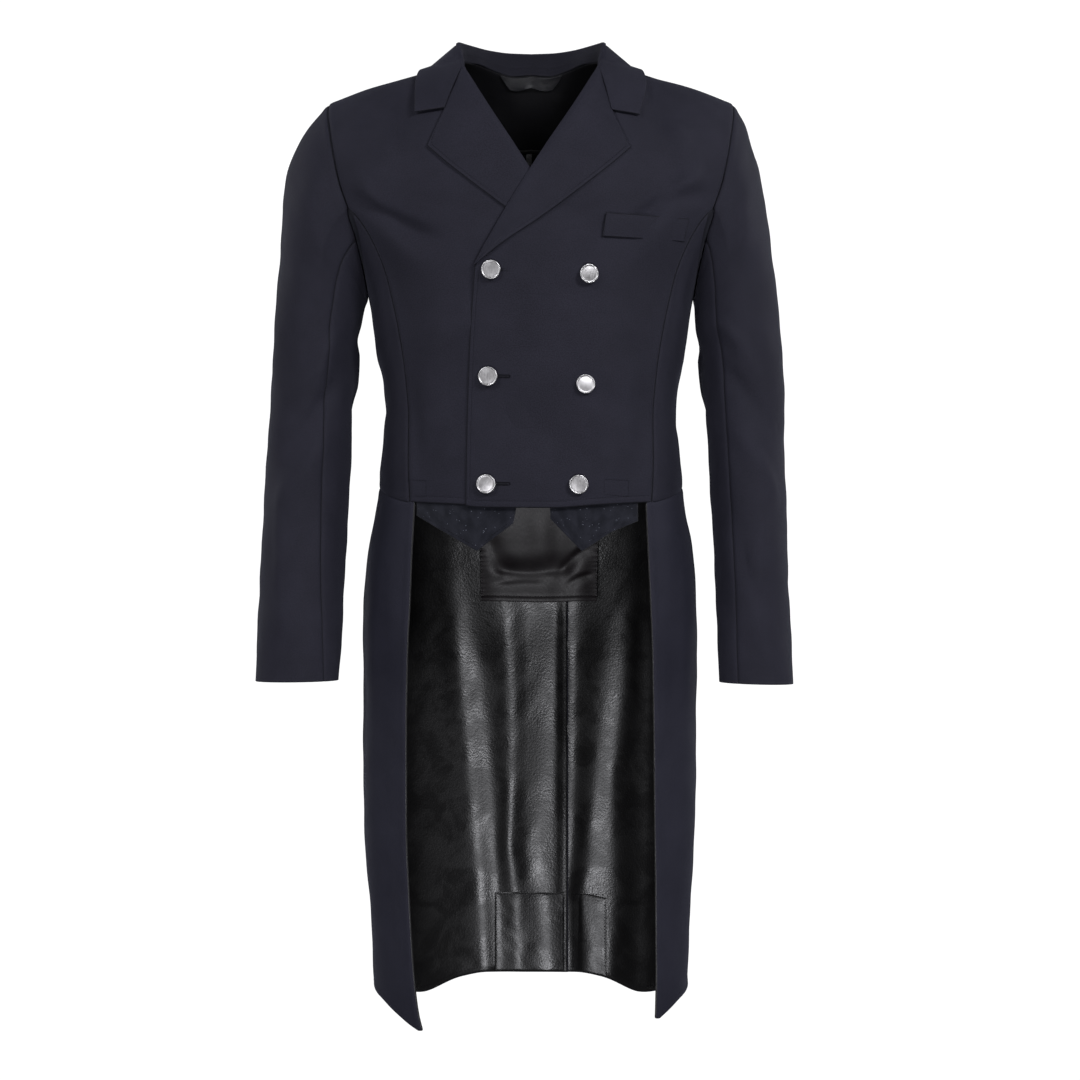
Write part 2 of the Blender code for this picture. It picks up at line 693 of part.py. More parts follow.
def neckline():
    # The body's neckline from the centre back over the shoulder to the gorge.
    back = torso(BACK_X[-1, :5], BACK_ARCH[-1, :5], 1)
    rows = [LOWER_ROWS + row - 1 for row in range(UPPER_ROWS - 1, GORGE_ROW - 1, -1)]
    front = torso(FRONT_X[rows, 0], FRONT_ARCH[rows, 0], -1)
    return np.concatenate([back, front])


def doubled(points, smooth):
    # Adds a point between each two, on the chord or on a smooth curve.
    keys = np.arange(len(points))
    fine = np.arange(0, len(points) - 0.5, 0.5)
    if not smooth:
        return np.stack([np.interp(fine, keys, points[:, axis]) for axis in range(3)], axis=-1)
    columns = []
    for axis in range(3):
        columns.append(curve(np.column_stack([keys, points[:, axis]]).tolist(), fine))
    return np.stack(columns, axis=-1)


def collar_frame(side):
    # Base, fold and edge of the collar, with the directions its cloth rises and turns in.
    stations = np.array(COLLAR_STATIONS, dtype=float)
    tip_x, tip_z = COLLAR_TIP[side]
    tip_y = float(torso(tip_x, height_to_arch(tip_x, tip_z), -1)[1])
    stations[-1, 3:] = tip_x, tip_y, tip_z
    base = doubled(neckline(), smooth=False)
    fold = doubled(stations[:, :3], smooth=True)
    edge = doubled(stations[:, 3:], smooth=True)
    gorge_x, gorge_z = base[-1, 0], base[-1, 2]
    lapel_x, lapel_z = LAPEL_EDGE[side][-1]
    away = unit(np.array([gorge_x - lapel_x, gorge_z - lapel_z]))
    beyond = torso(gorge_x + away[0], height_to_arch(gorge_x + away[0], gorge_z + away[1]), -1)
    raised = torso(gorge_x, height_to_arch(gorge_x, gorge_z), -1, 1.0)
    lying = eased((np.arange(len(base)) - len(base) + 4) / 3)[:, None]
    fold[-1] = base[-1] + unit(beyond - base[-1]) * FOLD_AT_GORGE
    stand_up = unit(blend(unit(fold - base), unit(beyond - base[-1]), lying))
    radial = unit((base - np.array(NECK_CENTRE)) * np.array([1.0, 1.0, 0.0]))
    outward = blend(radial, unit(raised - base[-1]), lying)
    outward = unit(outward - stand_up * np.sum(outward * stand_up, axis=-1, keepdims=True))
    height = np.linalg.norm(fold - base, axis=-1, keepdims=True)
    return base, edge, stand_up, outward, height, lying


def collar_half(side):
    # Outer and inner faces of the stand and of the fall, from the centre back to the front.
    base, edge, stand_up, outward, height, lying = collar_frame(side)
    size = blend(1.0, FOLD_SIZE_AT_GORGE, lying)
    foot = base - outward * COLLAR_CLOTH / 2 + stand_up * SEAM_GAP
    top = foot + stand_up * np.maximum(height - 3.6 - SEAM_GAP, 0.6)
    stand = np.stack([foot, blend(foot, top, 0.5), top], axis=1)
    stand_outer = stand - outward[:, None] * COLLAR_CLOTH / 2
    stand_inner = stand + outward[:, None] * COLLAR_CLOTH / 2
    outer, inner = [], []
    for out, up, inner_out, inner_up in FOLD_PROFILE:
        outer.append(top + outward * out + stand_up * (up * size))
        inner.append(top + outward * inner_out + stand_up * (inner_up * size))
    start = top + outward * 3.0 + stand_up * 0.6
    corner_x, corner_z = LAPEL_EDGE[side][-1]
    notch = torso(corner_x, height_to_arch(corner_x, corner_z), -1)
    middle = [(outer[-1] + inner[-1]) / 2]
    for share in COLLAR_STEPS:
        place = blend(start, edge, share)
        if share > COLLAR_NOTCH_SHARE:
            bend = blend(notch, edge, (share - COLLAR_NOTCH_SHARE) / (1 - COLLAR_NOTCH_SHARE))
        else:
            bend = blend(start, notch, share / COLLAR_NOTCH_SHARE)
        place = blend(place, bend, lying)
        middle.append(clear_of_torso(place, COLLAR_CLEARANCE, exact=share == 1.0))
    middle = np.stack(middle, axis=1)
    normal = unit(np.cross(np.gradient(middle, axis=1), np.gradient(middle, axis=0)))[:, 1:]
    fall_outer = np.concatenate([np.stack(outer, axis=1), middle[:, 1:] + normal * COLLAR_CLOTH / 2], 1)
    fall_inner = np.concatenate([np.stack(inner, axis=1), middle[:, 1:] - normal * COLLAR_CLOTH / 2], 1)
    return stand_outer, stand_inner, fall_outer, fall_inner


def make_collar():
    left = collar_half("left")
    right = [half * np.array([-1.0, 1.0, 1.0]) for half in collar_half("right")]
    whole = [np.concatenate([other[:0:-1], half]) for half, other in zip(left, right)]
    ends = ("bottom", "top")
    for name, outer, inner in (("collar_stand", *whole[:2]), ("collar_fall", *whole[2:])):
        outer, inner = drawn_in(outer, ends, COLLAR_END_GAP), drawn_in(inner, ends, COLLAR_END_GAP)
        wall(name, outer, inner, "suiting")


# Pieces that lie on the panels

def make_welt():
    outer_grid, inner_grid = [], []
    for level in np.linspace(0, 1, 3):
        start = blend(np.array(WELT_BOTTOM[0]), np.array(WELT_TOP[0]), level)
        end = blend(np.array(WELT_BOTTOM[1]), np.array(WELT_TOP[1]), level)
        x, z = blend(start[:, None], end[:, None], np.linspace(0, 1, 8)[None, :])
        lap = front_lap(x, z) + LAYER_GAP + FACET_ALLOWANCE
        arch = height_to_arch(x, z)
        inner_grid.append(torso(x, arch, -1, lap))
        outer_grid.append(torso(x, arch, -1, lap + WELT_CLOTH))
    wall("pocket_welt", np.array(outer_grid), np.array(inner_grid), "suiting")


def make_points():
    for side, outline in POINT_OUTLINES.items():
        x = np.array([row[0] for row in outline], dtype=float)
        low = np.array([row[1] for row in outline], dtype=float)
        x = np.interp(np.arange(0, len(x) - 0.5, 0.5), np.arange(len(x)), x)
        low = np.interp(x, [row[0] for row in outline], low)
        z = blend(low[None, :], POINT_TOP, np.linspace(0, 1, 4)[:, None])
        x = np.broadcast_to(x, z.shape)
        depth = -(SUITING + LAYER_GAP + FACET_ALLOWANCE)
        outer = torso(x, z - CHEST_LEVEL, -1, np.full_like(z, depth))
        inner = torso(x, z - CHEST_LEVEL, -1, np.full_like(z, depth - POINT_CLOTH))
        wall("vest_point_" + side, outer, inner, "suede")


# Tails

def tail_grid(side):
    # Angle and height of each point of a tail, its front edge first.
    column = 1 if side == "right" else 2
    top_angle = np.concatenate([SIDE_ANGLE[0], angle_at(BACK_X[0, -2::-1], BACK_ARCH[0, -2::-1]
                                                        + CHEST_LEVEL, 1)])
    top_height = np.concatenate([SIDE_HEIGHT[0], BACK_ARCH[0, -2::-1] + CHEST_LEVEL])
    share = (top_angle - top_angle[0]) / (math.pi - top_angle[0])
    angles, heights = [], []
    for level in np.linspace(0, 1, TAIL_ROWS):
        height = top_height.copy()
        angle = top_angle.copy()
        for _ in range(8):
            edge = curve(TAIL_EDGE, height[0], column)
            start = angle_at(edge + TAIL_FACING, height[0], -1)
            if level > 0:
                angle = blend(start, math.pi, share)
            height = blend(top_height, curve(TAIL_HEM, np.degrees(angle)), level)
        edge_x = float(round_base(angle[0], height[0])[0]) - TAIL_FACING
        edge_z = height[0] - (0.8 if level == 0 else 0.0)
        angles.append(np.concatenate([[angle_at(edge_x, edge_z, -1)], angle]))
        heights.append(np.concatenate([[edge_z], height]))
    angle, height = np.array(angles)[::-1], np.array(heights)[::-1]
    if side == "right":
        centre_height = height[:, -1]
        for reach in (VENT_UNDERLAP / 3, VENT_UNDERLAP * 2 / 3, VENT_UNDERLAP):
            past_centre = np.full(len(centre_height), -reach)
            angle = np.column_stack([angle, angle_at(past_centre, centre_height, 1)])
            height = np.column_stack([height, centre_height])
    return angle, height


def tail_step(side, angle, height):
    # The wearer's right tail dips inwards near the vent, under the left tail.
    if side == "left":
        return np.zeros_like(angle)
    x = round_base(angle, height)[..., 0]
    return -VENT_STEP * eased((34 - x) / 30)


def make_tail(side):
    mirrored = side == "right"
    angle, height = tail_grid(side)
    step = tail_step(side, angle, height)
    seams = ("top", "end") if side == "left" else ("top",)
    outer = drawn_in(around(angle, height, step), seams)
    inner = drawn_in(around(angle, height, step - TAIL_SHELL), seams)
    wall("tail_" + side, outer, inner, "suiting", mirrored)

    lining_step = step - TAIL_SHELL - LAYER_GAP
    edges = ("start", "end", "top", "bottom")
    outer = drawn_in(around(angle, height, lining_step)[:, 1:], edges, 1.0)
    inner = drawn_in(around(angle, height, lining_step - LINING)[:, 1:], edges, 1.0)
    wall("tail_lining_" + side, outer, inner, "leather", mirrored)

    front = around(angle[:, :2], height[:, :2], step[:, :2] - TAIL_SHELL - LAYER_GAP)
    back = around(angle[:, :2], height[:, :2], step[:, :2] - TAIL_SHELL - LAYER_GAP - 1.4)
    strip = [blend(grid[:, :1], grid[:, 1:], np.array([0.1, 0.5, 0.95])[None, :, None])
             for grid in (front, back)]
    strip = [drawn_in(grid, ("top", "bottom"), 0.6) for grid in strip]
    wall("tail_piping_" + side, strip[0], strip[1], "piping", mirrored)

    first, last = WEIGHT_POCKETS[side]
    across = np.linspace(first, last, 9 if side == "right" else 5)
    hem = curve(TAIL_HEM, np.degrees(angle_at(across, np.full_like(across, -984.0), 1)))
    z = blend(hem[None, :] + 2.0, hem[None, :] + WEIGHT_POCKET_HEIGHT, np.linspace(0, 1, 5)[:, None])
    x = np.broadcast_to(across, z.shape)
    turn = angle_at(x, z, 1)
    depth = tail_step(side, turn, z) - TAIL_SHELL - LAYER_GAP - LINING - FACET_ALLOWANCE - LAYER_GAP
    wall("weight_pocket_" + side, around(turn, z, depth), around(turn, z, depth - LINING),
         "leather", mirrored)


def make_flap():
    heights = np.array([row[0] for row in FLAP_FALL], dtype=float)
    inward = np.array([row[1] for row in FLAP_FALL], dtype=float)
    across = np.linspace(*FLAP_SIDES, 17)
    x, z = np.meshgrid(across, heights)
    fall = eased((-418 - z) / 60)
    wave = FLAP_WAVE_DEPTH * fall * np.cos((x - FLAP_SIDES[0]) / np.ptp(across) * math.tau * FLAP_WAVES)
    depth = -np.broadcast_to(inward[:, None], z.shape) - wave - FACET_ALLOWANCE * eased((-408 - z) / 10)
    outer = torso(x, z - CHEST_LEVEL, 1, depth)
    inner = torso(x, z - CHEST_LEVEL, 1, depth - LINING)
    wall("waist_flap", outer, inner, "satin")


# Pieces inside the neck

def whole_back(first_row, last_row, last_column, offset):
    rows = slice(first_row, last_row + 1)
    half = torso(BACK_X[rows, :last_column + 1], BACK_ARCH[rows, :last_column + 1], 1,
                 np.full_like(BACK_X[rows, :last_column + 1], offset))
    other = half[:, :0:-1] * np.array([-1.0, 1.0, 1.0])
    return np.concatenate([other, half], axis=1)


def make_back_linings():
    depth = -(SUITING + LAYER_GAP + TWIST_ALLOWANCE)
    edges = ("start", "end", "top", "bottom")
    yoke = LOWER_ROWS - 1 + YOKE_ROW
    top = LOWER_ROWS - 1 + UPPER_ROWS
    for name, first, last, kind in (("yoke_lining", yoke, top, "lining"),
                                    ("back_lining", 0, yoke, "lining")):
        outer = drawn_in(whole_back(first, last, 9, depth), edges, 0.5)
        inner = drawn_in(whole_back(first, last, 9, depth - LINING), edges, 0.5)
        wall(name, outer, inner, kind, centre=9)
    reach = 9
    arch = BACK_ARCH[yoke, :reach + 1]
    x = BACK_X[yoke, :reach + 1]
    depth -= LINING + LAYER_GAP
    faces = []
    for offset in (depth, depth - LINING):
        rows = []
        for shift in (-PIPING_HEIGHT / 2, 0, PIPING_HEIGHT / 2):
            half = torso(x, arch + shift, 1, np.full_like(x, offset))
            rows.append(np.concatenate([half[:0:-1] * np.array([-1.0, 1.0, 1.0]), half]))
        faces.append(drawn_in(np.array(rows), ("start", "end"), 2.0))
    wall("lining_piping", faces[0], faces[1], "piping", centre=reach)


def make_label():
    top = LOWER_ROWS - 1 + UPPER_ROWS
    depth = -(SUITING + 2 * LAYER_GAP + 2 * TWIST_ALLOWANCE + LINING)
    faces = []
    for offset in (depth, depth - LINING):
        grid = whole_back(top - 1, top, 2, offset)
        across = np.linspace(-LABEL_HALF_WIDTH, LABEL_HALF_WIDTH, 9)
        rows = []
        for level in (0.25, 0.6, 0.95):
            line = blend(grid[0], grid[1], level)
            rows.append(np.stack([across, np.interp(across, line[:, 0], line[:, 1]),
                                  np.interp(across, line[:, 0], line[:, 2])], axis=-1))
        faces.append(np.array(rows))
    wall("neck_label", faces[0], faces[1], "label")


# Buttons

def button_mesh(name):
    rings = len(BUTTON_PROFILE)
    points = [(0.0, 0.0, 0.0)]
    for radius, height in BUTTON_PROFILE:
        for number in range(BUTTON_SEGMENTS):
            turn = math.tau * number / BUTTON_SEGMENTS
            points.append((radius * math.cos(turn), radius * math.sin(turn), height))
    points.append((0.0, 0.0, BUTTON_CROWN))
    last = len(points) - 1
    faces = []
    for number in range(BUTTON_SEGMENTS):
        following = (number + 1) % BUTTON_SEGMENTS
        faces.append([0, 1 + following, 1 + number])
        for ring in range(rings - 1):
            low, high = 1 + ring * BUTTON_SEGMENTS, 1 + (ring + 1) * BUTTON_SEGMENTS
            faces.append([low + number, low + following, high + following, high + number])
        top = 1 + (rings - 1) * BUTTON_SEGMENTS
        faces.append([top + number, top + following, last])
    return add_object(name, np.array(points), faces, "metal")


def make_buttons():
    for name, (x, z, sideways, upward) in BUTTONS.items():
        button = button_mesh(name)
        arch = float(height_to_arch(x, z))
        lap = float(front_lap(x, z))
        foot = torso(x, arch, -1, lap + 0.3)
        normal = unit(foot - torso(x, arch, -1, lap))
        right = unit(np.cross(np.array([0.0, 0.0, 1.0]), normal))
        lean = (normal + right * math.tan(math.radians(sideways))
                + np.array([0.0, 0.0, math.tan(math.radians(upward))]))
        axis = unit(lean)
        right = unit(np.cross(np.array([0.0, 0.0, 1.0]), axis))
        rise = np.cross(axis, right)
        frame = np.identity(4)
        frame[:3, 0], frame[:3, 1], frame[:3, 2] = right, rise, axis
        frame[:3, 3] = (foot + axis * 0.1) * MM
        button.matrix_world = [tuple(row) for row in frame.T]


make_fronts()
make_sides()
make_backs()
for hand in ("left", "right"):
    make_sleeve(hand)
    make_lapel(hand)
    make_tail(hand)
make_collar()
make_welt()
make_points()
make_flap()
make_back_linings()
make_label()
make_buttons()
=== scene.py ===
# Double-breasted tailcoat, filled out as worn: the cloth, leather, satin and metal that show.
# The coat faces -Y, the wearer's left is +X. Sizes are millimetres until a mesh is made.
import math

import bmesh
import bpy
import numpy as np
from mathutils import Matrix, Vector


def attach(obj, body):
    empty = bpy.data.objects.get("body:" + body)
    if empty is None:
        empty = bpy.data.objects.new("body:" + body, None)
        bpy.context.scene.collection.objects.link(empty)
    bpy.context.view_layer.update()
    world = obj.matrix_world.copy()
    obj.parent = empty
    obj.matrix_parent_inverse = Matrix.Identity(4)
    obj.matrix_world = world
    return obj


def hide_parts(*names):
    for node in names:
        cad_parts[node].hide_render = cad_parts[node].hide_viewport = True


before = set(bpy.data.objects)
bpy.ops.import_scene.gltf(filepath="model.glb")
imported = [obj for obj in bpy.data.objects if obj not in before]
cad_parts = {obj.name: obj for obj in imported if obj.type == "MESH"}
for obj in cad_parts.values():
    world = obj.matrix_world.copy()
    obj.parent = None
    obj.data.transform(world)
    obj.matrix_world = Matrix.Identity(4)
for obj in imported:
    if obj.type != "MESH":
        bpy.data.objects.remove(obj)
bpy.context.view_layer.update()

mm = 0.001
print("coat: frame loaded with", len(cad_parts), "nodes")

# Cloth thickness and the small clearances between layers
cloth = {
    "suiting": 1.6, "tailShell": 1.2, "lining": 0.9, "collar": 2.0,
    "layerGap": 0.35, "rimSteps": 3,
}

# Body form: sections from the hem of the tails up, as height, half width, front depth, back depth
body = {
    "power": 2.3,
    "chest": -120.0,
    "archLength": 210.0,
    "neckHalf": 78.0,
    "neckShare": 0.648,
    "shoulderHalf": 226.5,
    "underarm": -212.0,
    "sections": (
        (-1040, 165, 88, 113), (-977, 176, 92, 115), (-896, 179.5, 95, 117),
        (-821, 183.5, 97, 118), (-685, 186, 100, 120), (-596, 186, 102, 119),
        (-522, 183.5, 105, 113), (-485, 179.5, 108, 107), (-456, 174, 110, 101),
        (-426, 169.5, 112, 95), (-394, 167, 113, 90), (-368, 164.5, 114, 88),
        (-339, 163, 115, 89), (-310, 166, 117, 94), (-279, 171.5, 119, 101),
        (-249, 176, 122, 108), (-215, 181, 124, 114), (-190, 190, 124, 116),
        (-150, 213, 123, 117), (-120, 235, 121, 116), (-57, 250, 116, 108),
        (3, 250, 108, 98), (80, 250, 100, 92),
    ),
    "shoulderRidge": (
        (0, 75), (40, 66.5), (78, 53), (100, 45), (121, 38), (154, 28),
        (188, 18), (211, 9.5), (226.5, 3), (245, -7),
    ),
}

# Seams and free edges, seen from the front
seams = {
    "armhole": ((-120, 200.5), (-93, 210), (-65, 216.5), (-29, 223), (-8, 226), (3, 226.5)),
    "princess": (
        (-442, 132.5), (-400, 134.5), (-352, 134.2), (-296, 138.5), (-251, 145.5),
        (-210, 154.5), (-188, 160.5), (-160, 172), (-132, 189), (-120, 200.5),
    ),
    "sideBack": (
        (-419, 125), (-352, 124), (-296, 131), (-251, 140), (-210, 151),
        (-160, 171), (-132, 188), (-120, 200.5),
    ),
    "frontEdge": ((-447, -70), (-372, -68.8), (-298, -66.5), (-239, -63.6), (-187, -59)),
    "rollLine": (
        (-187, -59), (-120, -20.5), (-62, 15.5), (-10, 48), (20, 65), (37, 73.5), (50, 77),
    ),
    "frontHem": ((-70, -446.5), (-56, -448), (-16, -448.5), (23, -448.7), (68, -445.6), (132.5, -442)),
    "waist": ((40, -444), (50, -442), (70, -433), (90, -425), (120, -420), (135, -419), (180, -418)),
}


# Heights where seams, roll line, tails and satin flap end, and marks close beside a seam
limits = {"princess": -442.0, "sideBack": -419.0, "break": -187.0, "tail": -984.0,
          "flapLow": -552.0, "flapHigh": -402.0}
seamMarks = (0, 0.7, 1.5, 2.6, 4, 6, 9)


# Small numeric helpers

def unit(vectors):
    return vectors / np.maximum(np.linalg.norm(vectors, axis=-1, keepdims=True), 1e-9)


def eased(value):
    value = np.clip(value, 0.0, 1.0)
    return value * value * (3.0 - 2.0 * value)


def blend(start, end, fraction):
    return start + (end - start) * fraction


def curve(table, at, column=1):
    # smooth through the rows, with no overshoot between them
    rows = np.array(sorted(table), dtype=float)
    key, value = rows[:, 0], rows[:, column]
    step = np.diff(key)
    slope = np.diff(value) / step
    tangent = np.zeros_like(value)
    tangent[0], tangent[-1] = slope[0], slope[-1]
    product = slope[:-1] * slope[1:]
    total = np.where(product > 0, slope[:-1] + slope[1:], 1.0)
    tangent[1:-1] = np.where(product > 0, 2.0 * product / total, 0.0)
    at = np.clip(np.asarray(at, dtype=float), key[0], key[-1])
    row = np.clip(np.searchsorted(key, at) - 1, 0, len(key) - 2)
    width = step[row]
    t = (at - key[row]) / width
    return ((1 + 2 * t) * (1 - t) ** 2 * value[row] + t * (1 - t) ** 2 * width * tangent[row]
            + t * t * (3 - 2 * t) * value[row + 1] - t * t * (1 - t) * width * tangent[row + 1])


def smoothLine(points, at):
    # a smooth path through rows of coordinates, at fractional row numbers
    keys = np.arange(len(points))
    return np.stack([curve(np.column_stack([keys, points[:, axis]]).tolist(), at)
                     for axis in range(points.shape[1])], axis=-1)


def edgeMarks(width, count, near=(0, 0.7, 1.6, 2.8, 3.8, 4.6, 5.6, 7, 9, 12), far=()):
    # shares of a width, close together beside an edge so that a stitched edge shows
    start = np.array(near) / width
    end = 1 - np.array(far)[::-1] / width if len(far) else np.array([1.0])
    middle = np.linspace(start[-1], end[0], count)[1:-1]
    return np.concatenate([start, middle, end])


def runAlong(line):
    # how far along its line each point lies
    return np.concatenate([[0], np.cumsum(np.linalg.norm(np.diff(line, axis=0), axis=1))])


def bump(distance, place, reach):
    return np.exp(-((distance - place) / reach) ** 2)


def folds(x, z, table):
    # soft folds, each given as: from x, z to x, z, reach, height and bow
    total = np.zeros(np.broadcast(x, z).shape)
    for x0, z0, x1, z1, reach, height, bow in table:
        run = np.array([x1 - x0, z1 - z0], dtype=float)
        length = np.hypot(*run)
        along = ((x - x0) * run[0] + (z - z0) * run[1]) / length ** 2
        away = ((x - x0) * run[1] - (z - z0) * run[0]) / length
        away = away - bow * 4 * along * (1 - along)
        spread = reach * np.where(away > 0, 0.55, 1.0) * (0.75 + 0.5 * np.clip(along, 0, 1))
        fade = eased(along / 0.3 + 0.15) * eased((1 - along) / 0.4 + 0.15)
        total += height * np.exp(-(away / spread) ** 2) * fade
    return total


def unevenness(u, v, amount, wave=90.0, phase=0.0):
    # slow irregular undulation of pressed cloth
    a, b = u / wave * math.tau, v / wave * math.tau
    rough = (np.sin(a * 0.83 + 1.3 * np.sin(b * 0.31 + phase) + phase)
             + 0.7 * np.sin(b * 0.57 + 1.1 * np.sin(a * 0.47 + 2.0 * phase) + 1.7)
             + 0.5 * np.sin(a * 1.7 - b * 1.1 + 2.1 * phase)
             + 0.35 * np.sin(a * 2.3 + b * 2.9 + 0.7 + phase))
    return amount * rough / 2.0


# The body surface, by side distance and arch length or by angle and height

def ridgeHeight(x):
    return curve(body["shoulderRidge"], np.abs(x))


def archToHeight(x, arch):
    rise = np.sin(np.clip(arch, 0, None) / body["archLength"] * math.pi / 2)
    return body["chest"] + np.minimum(arch, 0) + (ridgeHeight(x) - body["chest"]) * rise


def heightToArch(x, z):
    share = np.clip((z - body["chest"]) / (ridgeHeight(x) - body["chest"]), 0, 1)
    return np.minimum(z - body["chest"], 0) + np.arcsin(share) * body["archLength"] * 2 / math.pi


def torsoBase(x, arch, side):
    x, arch = np.broadcast_arrays(np.asarray(x, float), np.asarray(arch, float))
    z = archToHeight(x, arch)
    depth = curve(body["sections"], z, 2 if side < 0 else 3)
    power = body["power"]
    across = np.clip(1 - (np.abs(x) / curve(body["sections"], z, 1)) ** power, 0, None)
    lean = np.cos(np.clip(arch, 0, None) / body["archLength"] * math.pi / 2)
    return np.stack([x, side * depth * across ** (1 / power) * lean, z], axis=-1)


def torso(x, arch, side, offset=0.0):
    x, arch = np.broadcast_arrays(np.asarray(x, float), np.asarray(arch, float))
    step = 0.5
    across = torsoBase(x + step, arch, side) - torsoBase(x - step, arch, side)
    along = torsoBase(x, arch + step, side) - torsoBase(x, arch - step, side)
    normal = unit(np.cross(across, along)) * -side
    return torsoBase(x, arch, side) + normal * np.asarray(offset, float)[..., None]


def roundBase(angle, z):
    angle, z = np.broadcast_arrays(np.asarray(angle, float), np.asarray(z, float))
    width = curve(body["sections"], z, 1)
    depth = np.where(np.cos(angle) > 0, curve(body["sections"], z, 2), curve(body["sections"], z, 3))
    power = 2 / body["power"]
    x = width * np.sign(np.sin(angle)) * np.abs(np.sin(angle)) ** power
    y = -depth * np.sign(np.cos(angle)) * np.abs(np.cos(angle)) ** power
    return np.stack([x, y, z], axis=-1)


def around(angle, z, offset=0.0):
    turn, step = 0.004, 0.5
    across = roundBase(angle + turn, z) - roundBase(angle - turn, z)
    along = roundBase(angle, z + step) - roundBase(angle, z - step)
    return roundBase(angle, z) + unit(np.cross(across, along)) * np.asarray(offset, float)[..., None]


def angleAt(x, z, side):
    share = np.clip(np.abs(x) / curve(body["sections"], z, 1), 0, 1)
    turn = np.arcsin(share ** (body["power"] / 2)) * np.where(np.asarray(x) < 0, -1.0, 1.0)
    return turn if side < 0 else math.pi - turn


def frontLap(x, z):
    # the left front stands off where it laps over the right front and its lapel
    front = 2.4 * eased((135 - x) / 60) * eased((20 - z) / 90)
    lapel = 2.9 * eased((125 - x) / 60) * eased((z + 225) / 30) * eased((-22 - z) / 62)
    return front + lapel


# Meshes

def makePiece(name, points, faces, uvs, materials, faceMaterials=None):
    mesh = bpy.data.meshes.new(name)
    mesh.from_pydata((points * mm).tolist(), [], faces)
    if uvs is not None:
        layer = mesh.uv_layers.new(name="cloth")
        loops = np.zeros(len(mesh.loops), dtype=np.int32)
        mesh.loops.foreach_get("vertex_index", loops)
        layer.data.foreach_set("uv", (np.asarray(uvs)[loops] * mm).ravel())
    if faceMaterials is not None:
        mesh.polygons.foreach_set("material_index", np.asarray(faceMaterials, dtype=np.int32))
    cleaner = bmesh.new()
    cleaner.from_mesh(mesh)
    bmesh.ops.recalc_face_normals(cleaner, faces=cleaner.faces)
    cleaner.to_mesh(mesh)
    cleaner.free()
    for material in materials:
        mesh.materials.append(material)
    mesh.shade_smooth()
    piece = bpy.data.objects.new(name, mesh)
    bpy.context.scene.collection.objects.link(piece)
    return piece


def clothGridUv(grid):
    # distance across and along the cloth, in millimetres
    across = np.linalg.norm(np.diff(grid, axis=1), axis=-1).mean(axis=0)
    along = np.linalg.norm(np.diff(grid, axis=0), axis=-1).mean(axis=1)
    u = np.concatenate([[0], np.cumsum(across)])
    v = np.concatenate([[0], np.cumsum(along)])
    return np.stack(np.meshgrid(u, v), axis=-1)


def clothSheet(name, outer, inner, materials, mirrored=False, bulge=0.35, turned=()):
    # a closed sheet between two grids: material 0 outside, 1 inside, 2 at the rounded rim and turned sides,
    # where material 2 is a darker cloth that paints the shade under edges and in seams
    rows, columns = outer.shape[:2]
    uv = clothGridUv(outer)
    if mirrored:
        outer, inner = outer * [-1, 1, 1], inner * [-1, 1, 1]
    points = [outer.reshape(-1, 3), inner.reshape(-1, 3)]
    uvs = [uv.reshape(-1, 2), uv.reshape(-1, 2)]
    number = np.arange(rows * columns).reshape(rows, columns)
    quads = np.stack([number[:-1, :-1], number[:-1, 1:], number[1:, 1:], number[1:, :-1]], axis=-1)
    quads = quads.reshape(-1, 4)
    faces = quads.tolist() + (quads[:, ::-1] + rows * columns).tolist()
    shown = np.zeros((rows - 1, columns - 1), dtype=int)
    places = {"start": np.s_[:, 0], "end": np.s_[:, -1], "bottom": np.s_[0, :], "top": np.s_[-1, :]}
    # the outermost band of quads on each turned side takes material 2: a painted shade line along the seam
    for side in turned:
        shown[places[side]] = 2
    kinds = shown.ravel().tolist() + [min(1, len(materials) - 1)] * len(quads)
    border = np.concatenate([number[0, :-1], number[:-1, -1], number[-1, :0:-1], number[:0:-1, 0]])
    inward = np.zeros_like(outer)
    inward[0] += outer[1] - outer[0]
    inward[-1] += outer[-2] - outer[-1]
    inward[:, 0] += unit(outer[:, 1] - outer[:, 0])
    inward[:, -1] += unit(outer[:, -2] - outer[:, -1])
    out = -unit(inward).reshape(-1, 3)[border]
    top, low = points[0][border], points[1][border]
    thick = np.linalg.norm(top - low, axis=-1, keepdims=True)
    rings = [border]
    steps = cloth["rimSteps"]
    for step in range(1, steps):
        share = step / steps
        ring = blend(top, low, share) + out * thick * bulge * math.sin(math.pi * share)
        rings.append(np.arange(len(border)) + sum(len(block) for block in points))
        points.append(ring)
        uvs.append(uv.reshape(-1, 2)[border])
    rings.append(border + rows * columns)
    # the rim takes material 2 too: painted shade under the cloth's edges
    rim = min(2, len(materials) - 1)
    for first, second in zip(rings[:-1], rings[1:]):
        a, b = first, np.roll(first, -1)
        c, d = np.roll(second, -1), second
        band = np.stack([b, a, d, c], axis=-1).tolist()
        faces += band
        kinds += [rim] * len(band)
    points, uvs = np.concatenate(points), np.concatenate(uvs)
    return makePiece(name + "_cloth", points, faces, uvs, materials, kinds)


# Shared effects, each a node group built once

def makeGroup(name, inputs, outputs):
    group = bpy.data.node_groups.new(name, "ShaderNodeTree")
    for label, kind, value in inputs:
        socket = group.interface.new_socket(label, in_out="INPUT", socket_type="NodeSocket" + kind)
        if value is not None:
            socket.default_value = value
    for label, kind in outputs:
        group.interface.new_socket(label, in_out="OUTPUT", socket_type="NodeSocket" + kind)
    return group, group.nodes.new("NodeGroupInput"), group.nodes.new("NodeGroupOutput")


def feed(tree, socket, value):
    if isinstance(value, bpy.types.NodeSocket):
        tree.links.new(value, socket)
    else:
        socket.default_value = value


def addNode(tree, kind, settings=None, **inputs):
    node = tree.nodes.new("ShaderNode" + kind)
    for key, value in (settings or {}).items():
        setattr(node, key, value)
    for key, value in inputs.items():
        feed(tree, node.inputs[int(key[1:]) if key[1:].isdigit() else key], value)
    return node


